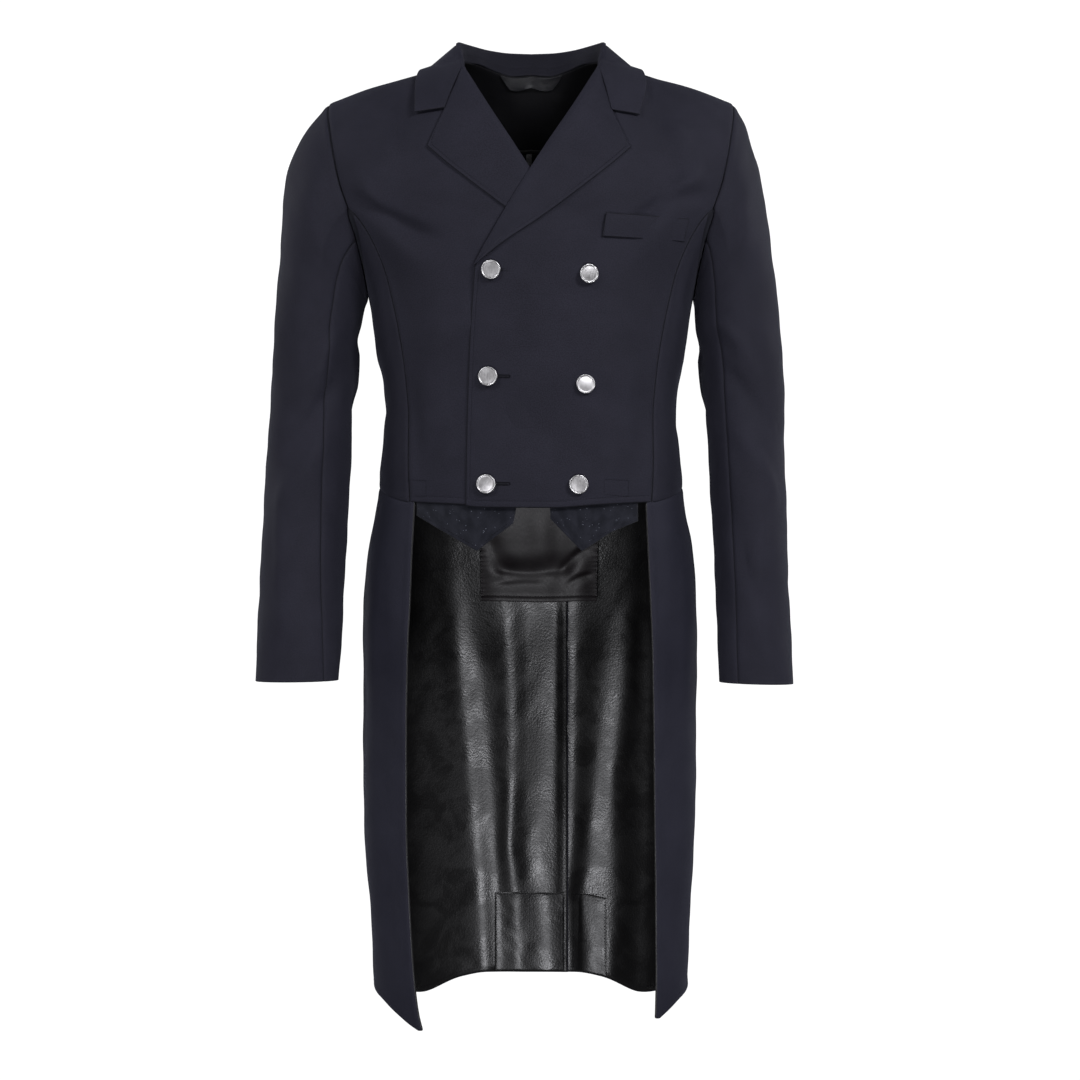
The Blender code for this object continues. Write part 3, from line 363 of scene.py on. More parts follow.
def addNoise(tree, place, scale, detail, **more):
    return addNode(tree, "TexNoise", None, Vector=place, Scale=scale, Detail=detail, **more).outputs[0]


def maths(tree, operation, first, second=0.0, third=0.0):
    return addNode(tree, "Math", {"operation": operation}, _0=first, _1=second, _2=third).outputs[0]


def ramp(tree, value, low, high, start=0.0, end=1.0):
    return addNode(tree, "MapRange", {"interpolation_type": "SMOOTHSTEP"}, Value=value,
                   **{"From Min": low, "From Max": high, "To Min": start, "To Max": end}).outputs[0]


def buildTwill():
    # fine diagonal weave with slubs: Cloth is the cloth map in metres
    group, source, result = makeGroup(
        "fineTwill",
        (("Cloth", "Vector", None), ("Threads", "Float", 1500.0), ("Slub", "Float", 0.5)),
        (("Height", "Float"), ("Tone", "Float")))
    weft = source.outputs["Cloth"]
    turned = addNode(group, "Mapping", None, Vector=weft, Rotation=(0, 0, 1.1))
    scaled = addNode(group, "VectorMath", {"operation": "SCALE"}, _0=turned.outputs[0],
                     Scale=source.outputs["Threads"])
    rib = addNode(group, "TexWave", {"wave_profile": "SIN"}, Vector=scaled.outputs[0], Scale=0.32,
                  Distortion=0.8, Detail=1.0)
    yarn = addNoise(group, weft, 750.0, 3.0, Roughness=0.65)
    drift = addNoise(group, weft, 14.0, 4.0, Roughness=0.6)
    mixed = maths(group, "MULTIPLY", yarn, source.outputs["Slub"])
    group.links.new(maths(group, "ADD", mixed, maths(group, "MULTIPLY", rib.outputs[1], 0.5)),
                    result.inputs["Height"])
    fine = maths(group, "MULTIPLY", ramp(group, yarn, 0.4, 0.6), 0.65)
    wide = maths(group, "MULTIPLY", ramp(group, drift, 0.32, 0.68), 0.35)
    group.links.new(maths(group, "ADD", fine, wide), result.inputs["Tone"])
    return group


def buildGrain():
    # pebbled grain of artificial leather, with fine pores and slow polish marks
    group, source, result = makeGroup(
        "pebbleGrain",
        (("Cloth", "Vector", None), ("Pebbles", "Float", 450.0)),
        (("Height", "Float"), ("Polish", "Float")))
    weft = source.outputs["Cloth"]
    cells = addNode(group, "TexVoronoi", {"feature": "SMOOTH_F1"}, Vector=weft,
                    Scale=source.outputs["Pebbles"], Smoothness=0.35, Randomness=0.9)
    pores = addNoise(group, weft, 1400.0, 2.0)
    marks = addNoise(group, weft, 26.0, 5.0, Roughness=0.65, Distortion=0.6)
    height = maths(group, "ADD", maths(group, "MULTIPLY", cells.outputs[0], -0.8),
                   maths(group, "MULTIPLY", pores, 0.35))
    group.links.new(height, result.inputs["Height"])
    group.links.new(ramp(group, marks, 0.33, 0.7), result.inputs["Polish"])
    return group


def buildRub():
    # light rubbed edges, from how sharply the surface turns outwards
    group, source, result = makeGroup(
        "rubbedEdge", (("Cloth", "Vector", None), ("Reach", "Float", 0.06)), (("Mask", "Float"),))
    shape = addNode(group, "NewGeometry")
    patch = addNoise(group, source.outputs["Cloth"], 160.0, 3.0)
    above = maths(group, "SUBTRACT", shape.outputs["Pointiness"], 0.5)
    sharp = maths(group, "DIVIDE", above, source.outputs["Reach"])
    broken = maths(group, "MULTIPLY", sharp, ramp(group, patch, 0.3, 0.6, 0.35, 1.0))
    group.links.new(addNode(group, "Clamp", None, Value=broken).outputs[0], result.inputs["Mask"])
    return group


def buildFlecks():
    # tiny pale flecks and nap of brushed cloth
    group, source, result = makeGroup(
        "napFlecks", (("Cloth", "Vector", None), ("Flecks", "Float", 420.0)),
        (("Height", "Float"), ("Fleck", "Float"), ("Nap", "Float")))
    weft = source.outputs["Cloth"]
    spots = addNode(group, "TexVoronoi", None, Vector=weft, Scale=source.outputs["Flecks"], Randomness=1.0)
    chosen = addNode(group, "SeparateColor", None, Color=spots.outputs["Color"])
    rare = maths(group, "GREATER_THAN", chosen.outputs[0], 0.93)
    small = maths(group, "LESS_THAN", spots.outputs["Distance"], 0.24)
    group.links.new(maths(group, "MULTIPLY", rare, small), result.inputs["Fleck"])
    pile, swirl = addNoise(group, weft, 900.0, 3.0), addNoise(group, weft, 70.0, 4.0)
    group.links.new(pile, result.inputs["Height"])
    group.links.new(ramp(group, swirl, 0.3, 0.7), result.inputs["Nap"])
    return group


twill, grain, rubbed, flecks = buildTwill(), buildGrain(), buildRub(), buildFlecks()


# Materials: each has its own Principled shader, fed by the shared effects

def startMaterial(name, **sockets):
    material = bpy.data.materials.new(name)
    material.use_nodes = True
    tree = material.node_tree
    shader = tree.nodes["Principled BSDF"]
    for key, value in sockets.items():
        shader.inputs[key].default_value = value
    weft = addNode(tree, "UVMap", {"uv_map": "cloth"}).outputs[0]
    return material, tree, shader, weft


def placeGroup(tree, group, **inputs):
    node = tree.nodes.new("ShaderNodeGroup")
    node.node_tree = group
    for key, value in inputs.items():
        feed(tree, node.inputs[key], value)
    return node


def mixColour(tree, factor, first, second):
    node = addNode(tree, "Mix", {"data_type": "RGBA"}, _0=factor)
    for socket, value in ((node.inputs[6], first), (node.inputs[7], second)):
        feed(tree, socket, (*value, 1.0) if isinstance(value, tuple) else value)
    return node.outputs[2]


def dress(tree, shader, colour, rough, height, strength, distance):
    # colour, roughness and relief of a material
    relief = addNode(tree, "Bump", None, Height=height, Strength=strength, Distance=distance)
    for name, value in (("Base Color", colour), ("Roughness", rough), ("Normal", relief.outputs[0])):
        tree.links.new(value, shader.inputs[name])


def makeSuiting(name, look):
    material, tree, shader, weft = startMaterial(name, **{
        "Sheen Weight": look["sheen"], "Sheen Roughness": 0.45, "Sheen Tint": (*look["sheenTint"], 1.0),
        "Specular IOR Level": look["specular"]})
    weave = placeGroup(tree, twill, Cloth=weft, Threads=look["threads"], Slub=look["slub"])
    edge = placeGroup(tree, rubbed, Cloth=weft, Reach=0.12)
    colour = mixColour(tree, weave.outputs["Tone"], look["deep"], look["light"])
    worn = maths(tree, "MULTIPLY", edge.outputs["Mask"], look["rub"])
    nap = ramp(tree, weave.outputs["Tone"], 0.0, 1.0, look["rough"] - 0.06, look["rough"] + 0.06)
    dress(tree, shader, mixColour(tree, worn, colour, look["worn"]), nap, weave.outputs["Height"],
          look["bump"], 0.0003)
    return material


suitingLook = {
    "deep": (0.0095, 0.0093, 0.0148), "light": (0.0198, 0.0192, 0.0288), "worn": (0.05, 0.05, 0.062),
    "sheen": 0.05, "sheenTint": (0.75, 0.78, 1.0), "specular": 0.13, "rough": 0.74,
    "threads": 1500.0, "slub": 0.55, "bump": 0.5, "rub": 0.07,
}
tailLook = dict(suitingLook, deep=(0.0106, 0.0106, 0.0172), light=(0.0205, 0.0203, 0.0310), sheen=0.05,
                rough=0.66, threads=2100.0, slub=0.4, bump=0.35)
facingLook = dict(suitingLook, deep=(0.006, 0.006, 0.009), light=(0.013, 0.013, 0.018), sheen=0.03)


def makeLeather(name, look):
    material, tree, shader, weft = startMaterial(name, **{
        "Specular IOR Level": look["specular"], "Coat Weight": look["coat"], "Coat Roughness": 0.32})
    skin = placeGroup(tree, grain, Cloth=weft, Pebbles=look["pebbles"])
    edge = placeGroup(tree, rubbed, Cloth=weft, Reach=look["edgeReach"])
    colour = mixColour(tree, skin.outputs["Polish"], look["deep"], look["light"])
    worn = maths(tree, "MULTIPLY", edge.outputs["Mask"], look["edge"])
    polish = ramp(tree, skin.outputs["Polish"], 0.0, 1.0, look["rough"] + 0.07, look["rough"] - 0.05)
    dress(tree, shader, mixColour(tree, worn, colour, look["worn"]), polish, skin.outputs["Height"],
          look["bump"], 0.0005)
    return material


leatherLook = {
    "deep": (0.0022, 0.0021, 0.0022), "light": (0.0042, 0.004, 0.0042), "worn": (0.03, 0.029, 0.029),
    "specular": 0.45, "coat": 0.03, "pebbles": 450.0, "edgeReach": 0.2, "edge": 0.1, "rough": 0.33,
    "bump": 0.3,
}
pipingLook = dict(leatherLook, worn=(0.03, 0.029, 0.03), edge=0.4, edgeReach=0.1, rough=0.42, coat=0.04)


def makeSatin(name):
    look = {"deep": (0.0092, 0.0070, 0.0082), "light": (0.0135, 0.0105, 0.0120), "rough": 0.42}
    material, tree, shader, weft = startMaterial(name, **{
        "Sheen Weight": 0.04, "Sheen Roughness": 0.3, "Specular IOR Level": 0.24})
    stretched = addNode(tree, "Mapping", None, Vector=weft, Scale=(2400.0, 260.0, 1.0))
    floats, cloud = addNoise(tree, stretched.outputs[0], 1.0, 3.0), addNoise(tree, weft, 60.0, 4.0)
    colour = mixColour(tree, ramp(tree, cloud, 0.35, 0.65), look["deep"], look["light"])
    polish = ramp(tree, floats, 0.2, 0.8, look["rough"] - 0.07, look["rough"] + 0.09)
    dress(tree, shader, colour, polish, floats, 0.35, 0.0002)
    return material


def makeSuede(name):
    look = {"deep": (0.0062, 0.0068, 0.0105), "light": (0.0125, 0.0132, 0.0195),
            "fleck": (0.12, 0.13, 0.16)}
    material, tree, shader, weft = startMaterial(name, **{
        "Sheen Weight": 0.08, "Sheen Roughness": 0.6, "Specular IOR Level": 0.1})
    nap = placeGroup(tree, flecks, Cloth=weft, Flecks=620.0)
    colour = mixColour(tree, nap.outputs["Nap"], look["deep"], look["light"])
    colour = mixColour(tree, nap.outputs["Fleck"], colour, look["fleck"])
    rough = ramp(tree, nap.outputs["Nap"], 0.0, 1.0, 0.95, 0.82)
    dress(tree, shader, colour, rough, nap.outputs["Height"], 0.6, 0.0004)
    return material


def makeLining(name, stripes):
    # plain dark lining, or black with pairs of grey stripes
    look = {"deep": (0.003, 0.003, 0.0036), "light": (0.0065, 0.0063, 0.008),
            "stripe": (0.2, 0.2, 0.205)}
    material, tree, shader, weft = startMaterial(name, **{
        "Sheen Weight": 0.03, "Specular IOR Level": 0.15})
    weave = placeGroup(tree, twill, Cloth=weft, Threads=2400.0, Slub=0.3)
    colour = mixColour(tree, weave.outputs["Tone"], look["deep"], look["light"])
    if stripes:
        place = addNode(tree, "SeparateXYZ", None, Vector=weft).outputs[0]
        shifted = maths(tree, "ADD", place, stripes["shift"] * mm)
        wrapped = maths(tree, "PINGPONG", shifted, stripes["pitch"] / 2 * mm)
        band = ramp(tree, wrapped, (stripes["width"] / 2 + 0.3) * mm, (stripes["width"] / 2 - 0.3) * mm)
        broken = maths(tree, "MULTIPLY", band, ramp(tree, weave.outputs["Tone"], 0.0, 0.6, 0.6, 1.0))
        colour = mixColour(tree, broken, colour, look["stripe"])
    rough = ramp(tree, weave.outputs["Tone"], 0.0, 1.0, 0.5, 0.62)
    dress(tree, shader, colour, rough, weave.outputs["Height"], 0.3, 0.0002)
    return material


def makeThread(name, deep, light):
    material, tree, shader, weft = startMaterial(name, **{"Specular IOR Level": 0.12})
    place = addNode(tree, "TexCoord").outputs["Object"]
    ply = addNoise(tree, place, 1200.0, 2.0)
    rough = ramp(tree, ply, 0.2, 0.8, 0.5, 0.7)
    dress(tree, shader, mixColour(tree, ply, deep, light), rough, ply, 0.4, 0.0002)
    return material


def makeMetal(name):
    look = {"deep": (0.46, 0.45, 0.45), "light": (0.55, 0.54, 0.54), "worn": (0.7, 0.69, 0.685)}
    material, tree, shader, weft = startMaterial(name, Metallic=1.0)
    place = addNode(tree, "TexCoord").outputs["Object"]
    brushed = addNode(tree, "Mapping", None, Vector=place, Scale=(2600.0, 260.0, 260.0))
    lines, cloud = addNoise(tree, brushed.outputs[0], 1.0, 3.0), addNoise(tree, place, 240.0, 4.0)
    edge = placeGroup(tree, rubbed, Cloth=place, Reach=0.1)
    colour = mixColour(tree, ramp(tree, cloud, 0.35, 0.65), look["deep"], look["light"])
    colour = mixColour(tree, edge.outputs["Mask"], colour, look["worn"])
    dress(tree, shader, colour, ramp(tree, lines, 0.25, 0.75, 0.3, 0.46), lines, 0.25, 0.0001)
    return material


finishes = {
    "suiting": makeSuiting("navySuiting", suitingLook),
    "tail": makeSuiting("navyTailCloth", tailLook),
    "facing": makeSuiting("innerFacing", facingLook),
    # the collar stand in a darker cloth: painted shade where the collar's fall shades the stand
    "stand": makeSuiting("shadedStandCloth", dict(suitingLook, deep=(0.0055, 0.0055, 0.0088),
                                            light=(0.0115, 0.0112, 0.0170))),
    # a darker cloth for rims and for the bands beside seams: painted shade under edges and in seams
    "edge": makeSuiting("paintedShadeEdge", dict(facingLook, deep=(0.004, 0.004, 0.006),
                                           light=(0.009, 0.009, 0.013))),
    "leather": makeLeather("blackArtificialLeather", leatherLook),
    "piping": makeLeather("blackPiping", pipingLook),
    "satin": makeSatin("charcoalSatin"),
    "suede": makeSuede("navySuedeCloth"),
    "lining": makeLining("darkLining", None),
    "striped": makeLining("stripedLining", {"pitch": 13.4, "width": 4.6, "shift": 6.0}),
    "label": makeSuiting("wovenLabel", dict(facingLook, deep=(0.005, 0.005, 0.0065), specular=0.5,
                                            light=(0.011, 0.011, 0.014), rough=0.4, threads=2600.0)),
    "thread": makeThread("navyThread", (0.002, 0.002, 0.0035), (0.0055, 0.0055, 0.008)),
    "metal": makeMetal("dullSilver"),
}
print("coat: materials made")


# Grids of the panels: level 0 is the hem and 1 the chest line, then arches up to the shoulder

def panelLevels():
    # fine near the stitched hem, then even; and the arches above the chest line
    lower = edgeMarks(322.0, 46, near=(0, 0.8, 1.8, 3.2, 5, 6.2, 7, 7.8, 9, 11, 14))
    upper = np.linspace(0, 1, 35)[1:]
    return lower, upper


panelLower, panelUpper = panelLevels()


def armholeSide(arch):
    x = np.full_like(arch, body["shoulderHalf"])
    for _ in range(8):
        x = curve(seams["armhole"], archToHeight(x, arch))
    return x


def frontEdgeAt(level):
    inner = -60.0
    for _ in range(6):
        height = blend(curve(seams["frontHem"], inner), body["chest"], level)
        inner = float(curve(seams["frontEdge"] if height < limits["break"] else seams["rollLine"], height))
    return inner


def neckEdgeAt(share):
    arch = share * body["archLength"]
    inner = 0.0
    for _ in range(12):
        inner = float(curve(seams["rollLine"], archToHeight(inner, arch)))
    return blend(inner, body["neckHalf"], max(0.0, share * 7 - 5) / 2)


def frontGrid():
    columns = edgeMarks(200.0, 44, far=seamMarks)
    sides, arches = [], []
    for level in panelLower:
        inner = frontEdgeAt(level)
        outer = float(curve(seams["princess"], blend(limits["princess"], body["chest"], level)))
        x = blend(inner, outer, columns)
        sides.append(x)
        arches.append(blend(curve(seams["frontHem"], x), body["chest"], level) - body["chest"])
    for share in panelUpper:
        arch = share * body["archLength"]
        outer = float(armholeSide(np.array([arch]))[0])
        sides.append(blend(neckEdgeAt(share), outer, columns))
        arches.append(np.full(len(columns), arch))
    return np.array(sides), np.array(arches)


def backRise(x):
    # how much lower a row of the back lies at the neck than at the shoulder
    return blend(body["neckShare"], 1.0, np.clip(np.abs(x) / body["neckHalf"], 0, 1) ** 2.5)


def backGrid():
    columns = edgeMarks(190.0, 44, near=seamMarks, far=seamMarks)
    sides, arches = [], []
    for level in panelLower:
        outer = float(curve(seams["sideBack"], blend(limits["sideBack"], body["chest"], level)))
        x = outer * columns
        waist = curve(seams["waist"], np.degrees(angleAt(x, np.full_like(x, limits["sideBack"]), 1)))
        waist = blend(waist, limits["sideBack"], eased((columns - 0.9) / 0.1))
        sides.append(x)
        arches.append(blend(waist, body["chest"], level) - body["chest"])
    for share in panelUpper:
        arch = share * body["archLength"]
        x = float(armholeSide(np.array([arch]))[0]) * columns
        sides.append(x)
        arches.append(arch * backRise(x))
    return np.array(sides), np.array(arches)


def sideGrid():
    share = edgeMarks(150.0, 31, near=seamMarks, far=seamMarks)
    level = panelLower
    frontHeight = blend(limits["princess"], body["chest"], level)
    backHeight = blend(limits["sideBack"], body["chest"], level)
    first = angleAt(curve(seams["princess"], frontHeight), frontHeight, -1)
    last = angleAt(curve(seams["sideBack"], backHeight), backHeight, 1)
    lowAngle, highAngle = blend(first[0], last[0], share), blend(first[-1], last[-1], share)
    lowHeight = curve(seams["waist"], np.degrees(lowAngle))
    lowHeight[0], lowHeight[-1] = limits["princess"], limits["sideBack"]
    dip = body["chest"] - body["underarm"]
    highHeight = body["underarm"] + dip * np.abs(2 * share - 1) ** 1.7

    def coons(low, high, start, end):
        s, t = share[None, :], level[:, None]
        edges = (1 - t) * low[None, :] + t * high[None, :] + (1 - s) * start[:, None] + s * end[:, None]
        return edges - ((1 - s) * (1 - t) * low[0] + s * (1 - t) * low[-1]
                        + (1 - s) * t * high[0] + s * t * high[-1])

    angle = coons(lowAngle, highAngle, first, last)
    height = coons(lowHeight, highHeight, frontHeight, backHeight)
    return angle, height, share


frontX, frontArch = frontGrid()
backX, backArch = backGrid()
sideAngle, sideHeight, sideShare = sideGrid()


def stepsFrom(grid, side):
    # distance of each point from one edge of its grid
    if side in ("start", "end"):
        step = np.linalg.norm(np.diff(grid, axis=1), axis=-1)
        step = step if side == "start" else step[:, ::-1]
        run = np.concatenate([np.zeros((grid.shape[0], 1)), np.cumsum(step, axis=1)], axis=1)
        return run if side == "start" else run[:, ::-1]
    step = np.linalg.norm(np.diff(grid, axis=0), axis=-1)
    step = step if side == "bottom" else step[::-1]
    run = np.concatenate([np.zeros((1, grid.shape[1])), np.cumsum(step, axis=0)], axis=0)
    return run if side == "bottom" else run[::-1]


allSides = ("start", "end", "bottom", "top")


def allSteps(grid):
    return [stepsFrom(grid, side) for side in allSides]


def sewnEdge(distance, depth=1.3, reach=1.5, swell=0.3):
    # cloth turning in at a seam, with the pressed allowance swelling beside it
    return -depth * np.exp(-(distance / reach) ** 2) + swell * bump(distance, 6.0, 3.5)


def stitchedEdge(distance, line=4.4, dip=0.32):
    # a free edge with a row of stitching that draws the cloth in
    return -0.35 * np.exp(-(distance / 0.9) ** 2) - dip * bump(distance, line, 0.9) \
        + 0.16 * bump(distance, line / 2, 1.2)


def sewSheet(node, outer, inner, looks, slotName, cut, mirrored=False, bulge=0.35, turned=()):
    # a cloth piece that stands for its node; cut, its flat size and its area where that is less, is not
    # used
    piece = clothSheet(node, outer, inner, [finishes[look] for look in looks], mirrored, bulge, turned)
    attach(piece, "root")
    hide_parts(node)


# Fronts: the left one laps over the right one

frontPiece = {
    "drift": 0.7, "hemLine": 7.0, "edgeLine": 4.6, "foldShare": 2.2,
    # x, z to x, z, reach, height, bow
    "leftFolds": (
        (188, -70, 120, -190, 17, 2.6, 9), (196, -100, 96, -150, 12, -2.6, 7),
        (150, -20, 178, -130, 20, 2.2, -6), (128, 30, 150, -40, 18, -1.6, 4),
        (40, -250, 118, -330, 24, 0.9, 8), (-40, -330, 96, -395, 22, -0.8, 10),
        (90, -180, 60, -440, 26, 0.9, 6), (-10, -210, -30, -430, 20, -0.7, -5),
        (118, -300, 122, -430, 13, -0.9, 2), (20, -120, 110, -170, 15, -0.8, -6),
    ),
    "rightFolds": (
        (186, -76, 112, -196, 16, 2.2, -8), (194, -104, 90, -160, 11, -4.0, -6),
        (152, -16, 176, -128, 20, 2.0, 6), (120, 20, 146, -54, 17, -1.6, -4),
        (44, -240, 124, -300, 22, 1.0, -7), (72, -330, 130, -420, 13, -1.6, 4),
        (100, -190, 84, -430, 24, 1.0, -6), (124, -310, 120, -436, 12, -0.9, -2),
    ),
    "flat": (0.28, 0.62), "area": 0.113,
}


frontOuter = {}


def makeFronts():
    height = archToHeight(frontX, frontArch)
    plain = torso(frontX, frontArch, -1)
    free, side, hem, top = allSteps(plain)
    rollHidden = eased((limits["break"] - height) / 16)
    for hand, sign in (("left", 1.0), ("right", -1.0)):
        lap = frontLap(frontX, height) if sign > 0 else np.zeros_like(frontX)
        table = frontPiece[hand + "Folds"]
        quiet = eased(free / 26) * eased(hem / 26) * eased(side / 14)
        relief = folds(frontX, height, table) * quiet * frontPiece["foldShare"]
        relief += unevenness(frontX, frontArch, frontPiece["drift"], 120.0, 0.6 + sign) * quiet
        relief += sewnEdge(side) + sewnEdge(top, 0.6) * eased((frontX - 78) / 6)
        relief += stitchedEdge(free, frontPiece["edgeLine"]) * rollHidden
        relief += stitchedEdge(hem, frontPiece["hemLine"], 0.3) * eased(side / 12)
        outer = torso(frontX, frontArch, -1, lap + relief)
        inner = torso(frontX, frontArch, -1, lap + relief * eased(hem / 20) * eased(free / 20)
                      - cloth["suiting"])
        sewSheet("front_" + hand, outer, inner, ("suiting", "facing", "edge"), "suiting", frontPiece,
                 sign < 0, turned=allSides)
        frontOuter[hand] = outer


# Side panels, between the princess seam and the side-back seam

sidePiece = {
    "drift": 0.6,
    # angle, height to angle, height, reach, height, bow, with the angle in degrees
    "folds": (
        (62, -250, 100, -310, 15, 1.3, 6), (70, -330, 112, -380, 14, -1.2, 6),
        (104, -240, 76, -330, 12, -1.0, 4), (60, -395, 100, -420, 10, 0.8, 3),
    ),
    "flat": (0.17, 0.335), "area": 0.044,
}


def makeSides():
    plain = around(sideAngle, sideHeight)
    front, back, low, high = allSteps(plain)
    for hand, sign in (("left", 1.0), ("right", -1.0)):
        quiet = eased(front / 12) * eased(back / 12) * eased(low / 12) * eased(high / 12)
        degrees = np.degrees(sideAngle)
        table = [(a * 1.6, b, c * 1.6, d, e, f, g * sign) for a, b, c, d, e, f, g in sidePiece["folds"]]
        relief = folds(degrees * 1.6, sideHeight, table) * quiet
        relief += unevenness(degrees * 2, sideHeight, sidePiece["drift"], 110.0, 1.4 + sign) * quiet
        relief += sewnEdge(front) + sewnEdge(back) + sewnEdge(low, 0.6) + sewnEdge(high, 0.6)
        outer = around(sideAngle, sideHeight, relief)
        inner = around(sideAngle, sideHeight, -cloth["suiting"] + relief * 0.5)
        sewSheet("side_" + hand, outer, inner, ("suiting", "lining", "edge"), "suiting", sidePiece,
                 sign < 0, 0.0, allSides)


# Backs, joined at the centre

backPiece = {
    "drift": 0.8,
    "leftFolds": (
        (186, -60, 96, -150, 20, 1.9, 8), (190, -110, 70, -200, 15, -1.5, 8),
        (120, 0, 170, -90, 22, 1.5, -6), (30, -230, 110, -300, 20, 1.4, 9),
        (20, -300, 100, -350, 16, -1.3, 8), (60, -380, 70, -240, 22, 1.0, 5),
        (24, -60, 40, -220, 24, -0.8, 4),
    ),
    "rightFolds": (
        (188, -56, 90, -160, 22, 1.8, -8), (186, -116, 80, -196, 14, -1.6, -7),
        (116, 6, 164, -84, 20, 1.4, 6), (26, -240, 116, -290, 18, 1.5, -9),
        (24, -310, 104, -356, 17, -1.2, -7), (54, -384, 64, -250, 20, 1.1, -5),
        (22, -70, 44, -210, 22, -0.9, -4),
    ),
    "flat": (0.25, 0.5), "area": 0.091,
}


def makeBacks():
    height = archToHeight(backX, backArch)
    plain = torso(backX, backArch, 1)
    centre, side, low, high = allSteps(plain)
    for hand, sign in (("left", 1.0), ("right", -1.0)):
        quiet = eased(centre / 14) * eased(side / 14) * eased(low / 14) * eased(high / 14)
        relief = folds(backX, height, backPiece[hand + "Folds"]) * quiet
        relief += unevenness(backX, backArch, backPiece["drift"], 130.0, 2.2 + sign) * quiet
        relief += sewnEdge(centre) + sewnEdge(side) + sewnEdge(low, 0.6) + sewnEdge(high, 0.6)
        outer = torso(backX, backArch, 1, relief)
        inner = torso(backX, backArch, 1, -cloth["suiting"])
        sewSheet("back_" + hand, outer, inner, ("suiting", "lining", "edge"), "suiting", backPiece,
                 sign < 0, 0.0, allSides)


makeFronts()
makeSides()
makeBacks()
print("coat: body panels made")


# Sleeves, lofted from the armhole to the cuff: outer x, outer z, inner x, inner z, half depth,
# middle y and the angle of the forearm seam

sleevePiece = {
    "right": (
        (226.5, 3, 180, -212, 71, 0, 118), (248, -22, 181, -213, 71, 0, 117),
        (260, -40, 182, -215, 70, 0, 116), (268, -58, 183, -217, 69, 0, 115),
        (275, -83, 184, -220, 68, -1, 114), (278.5, -115, 185.5, -224, 66.5, -1, 113),
        (281, -166, 187, -230, 65, -2, 112), (285, -220, 189.5, -243, 63, -3, 112),
        (287.3, -271, 195, -272, 61, -5, 113), (290, -314, 195.5, -314, 60, -8, 113),
        (293, -364, 199, -364, 58, -13, 113), (296.6, -439, 201.7, -439, 55, -23, 115),
        (299.8, -511, 205, -511, 51, -34, 120), (302, -579, 208, -579, 47, -43, 126),
        (303.4, -639, 212, -638, 43, -50, 135),
    ),
    "left": (
        (226.5, 3, 180, -212, 71, 0, 118), (239, -19, 180.5, -213, 71, 0, 118),
        (248, -46, 181, -215, 70, 0, 119), (255.8, -71, 181.5, -217, 69, -1, 120),
        (261, -97, 182, -220, 68, -1, 121), (266, -130, 183, -226, 66, -2, 122),
        (270.5, -172, 183.5, -234, 64.5, -2, 123), (273, -225, 184, -248, 63, -3, 123),
        (278.5, -277, 190, -278, 60, -5, 123), (281.5, -330, 192.5, -330, 58, -9, 123),
        (283, -390, 197.6, -390, 56, -16, 123), (284.3, -452, 199.9, -452, 53, -25, 122),
        (285.6, -517, 202.5, -517, 50, -34, 121), (287, -585, 205.6, -585, 46, -43, 122),
        (289, -642, 208, -640, 42, -50, 124),
    ),
    "hindSeam": 242.0, "capRings": 7, "degree": 0.9, "drift": 0.7, "foldShare": 2.1,
    # angle, height to angle, height, reach, height, bow; angle 0 is the outside and 90 the front
    "rightFolds": (
        (96, -190, 60, -60, 16, 1.6, 6), (122, -250, 66, -330, 15, 2.2, -7),
        (128, -300, 50, -390, 13, -2.0, -6), (118, -360, 40, -450, 14, 1.8, -6),
        (60, -420, 84, -620, 20, 1.6, 5), (24, -180, 30, -420, 24, 1.8, -6),
        (110, -470, 60, -560, 15, -1.4, 5), (-20, -120, -36, -420, 24, -1.4, 6),
        (300, -200, 330, -330, 22, 2.0, 8), (250, -280, 320, -350, 16, -2.0, 7),
        (246, -330, 320, -420, 15, 1.9, 6), (300, -440, 310, -620, 22, 1.4, 4),
        (170, -260, 210, -330, 14, 2.2, 5), (168, -310, 214, -390, 13, -1.8, 5),
    ),
    "leftFolds": (
        (92, -180, 58, -56, 15, 1.5, -6), (120, -240, 70, -320, 14, 2.0, 7),
        (126, -290, 54, -370, 14, -2.0, 6), (120, -350, 44, -450, 15, 2.0, 6),
        (70, -430, 92, -630, 18, 1.5, -5), (20, -160, 34, -400, 22, 1.7, 6),
        (108, -490, 66, -570, 14, -1.5, -5), (-24, -130, -30, -440, 22, -1.5, -6),
        (304, -210, 326, -340, 20, 2.0, -8), (252, -290, 318, -360, 17, -2.1, -7),
        (248, -350, 318, -430, 15, 1.8, -6), (296, -450, 312, -630, 20, 1.4, -4),
        (172, -270, 208, -340, 13, 2.1, -5), (166, -330, 212, -400, 13, -1.8, -5),
    ),
    "upper": {"flat": (0.24, 0.665), "area": 0.128}, "under": {"flat": (0.13, 0.6), "area": 0.056},
}


def armholeLoop():
    shares = np.linspace(1, 0, 29)[:-1]
    arch = shares * body["archLength"]
    side = armholeSide(arch)
    under = around(sideAngle[-1], sideHeight[-1])
    return np.concatenate([torso(side, arch, -1), under, torso(side, arch, 1)[:0:-1]])


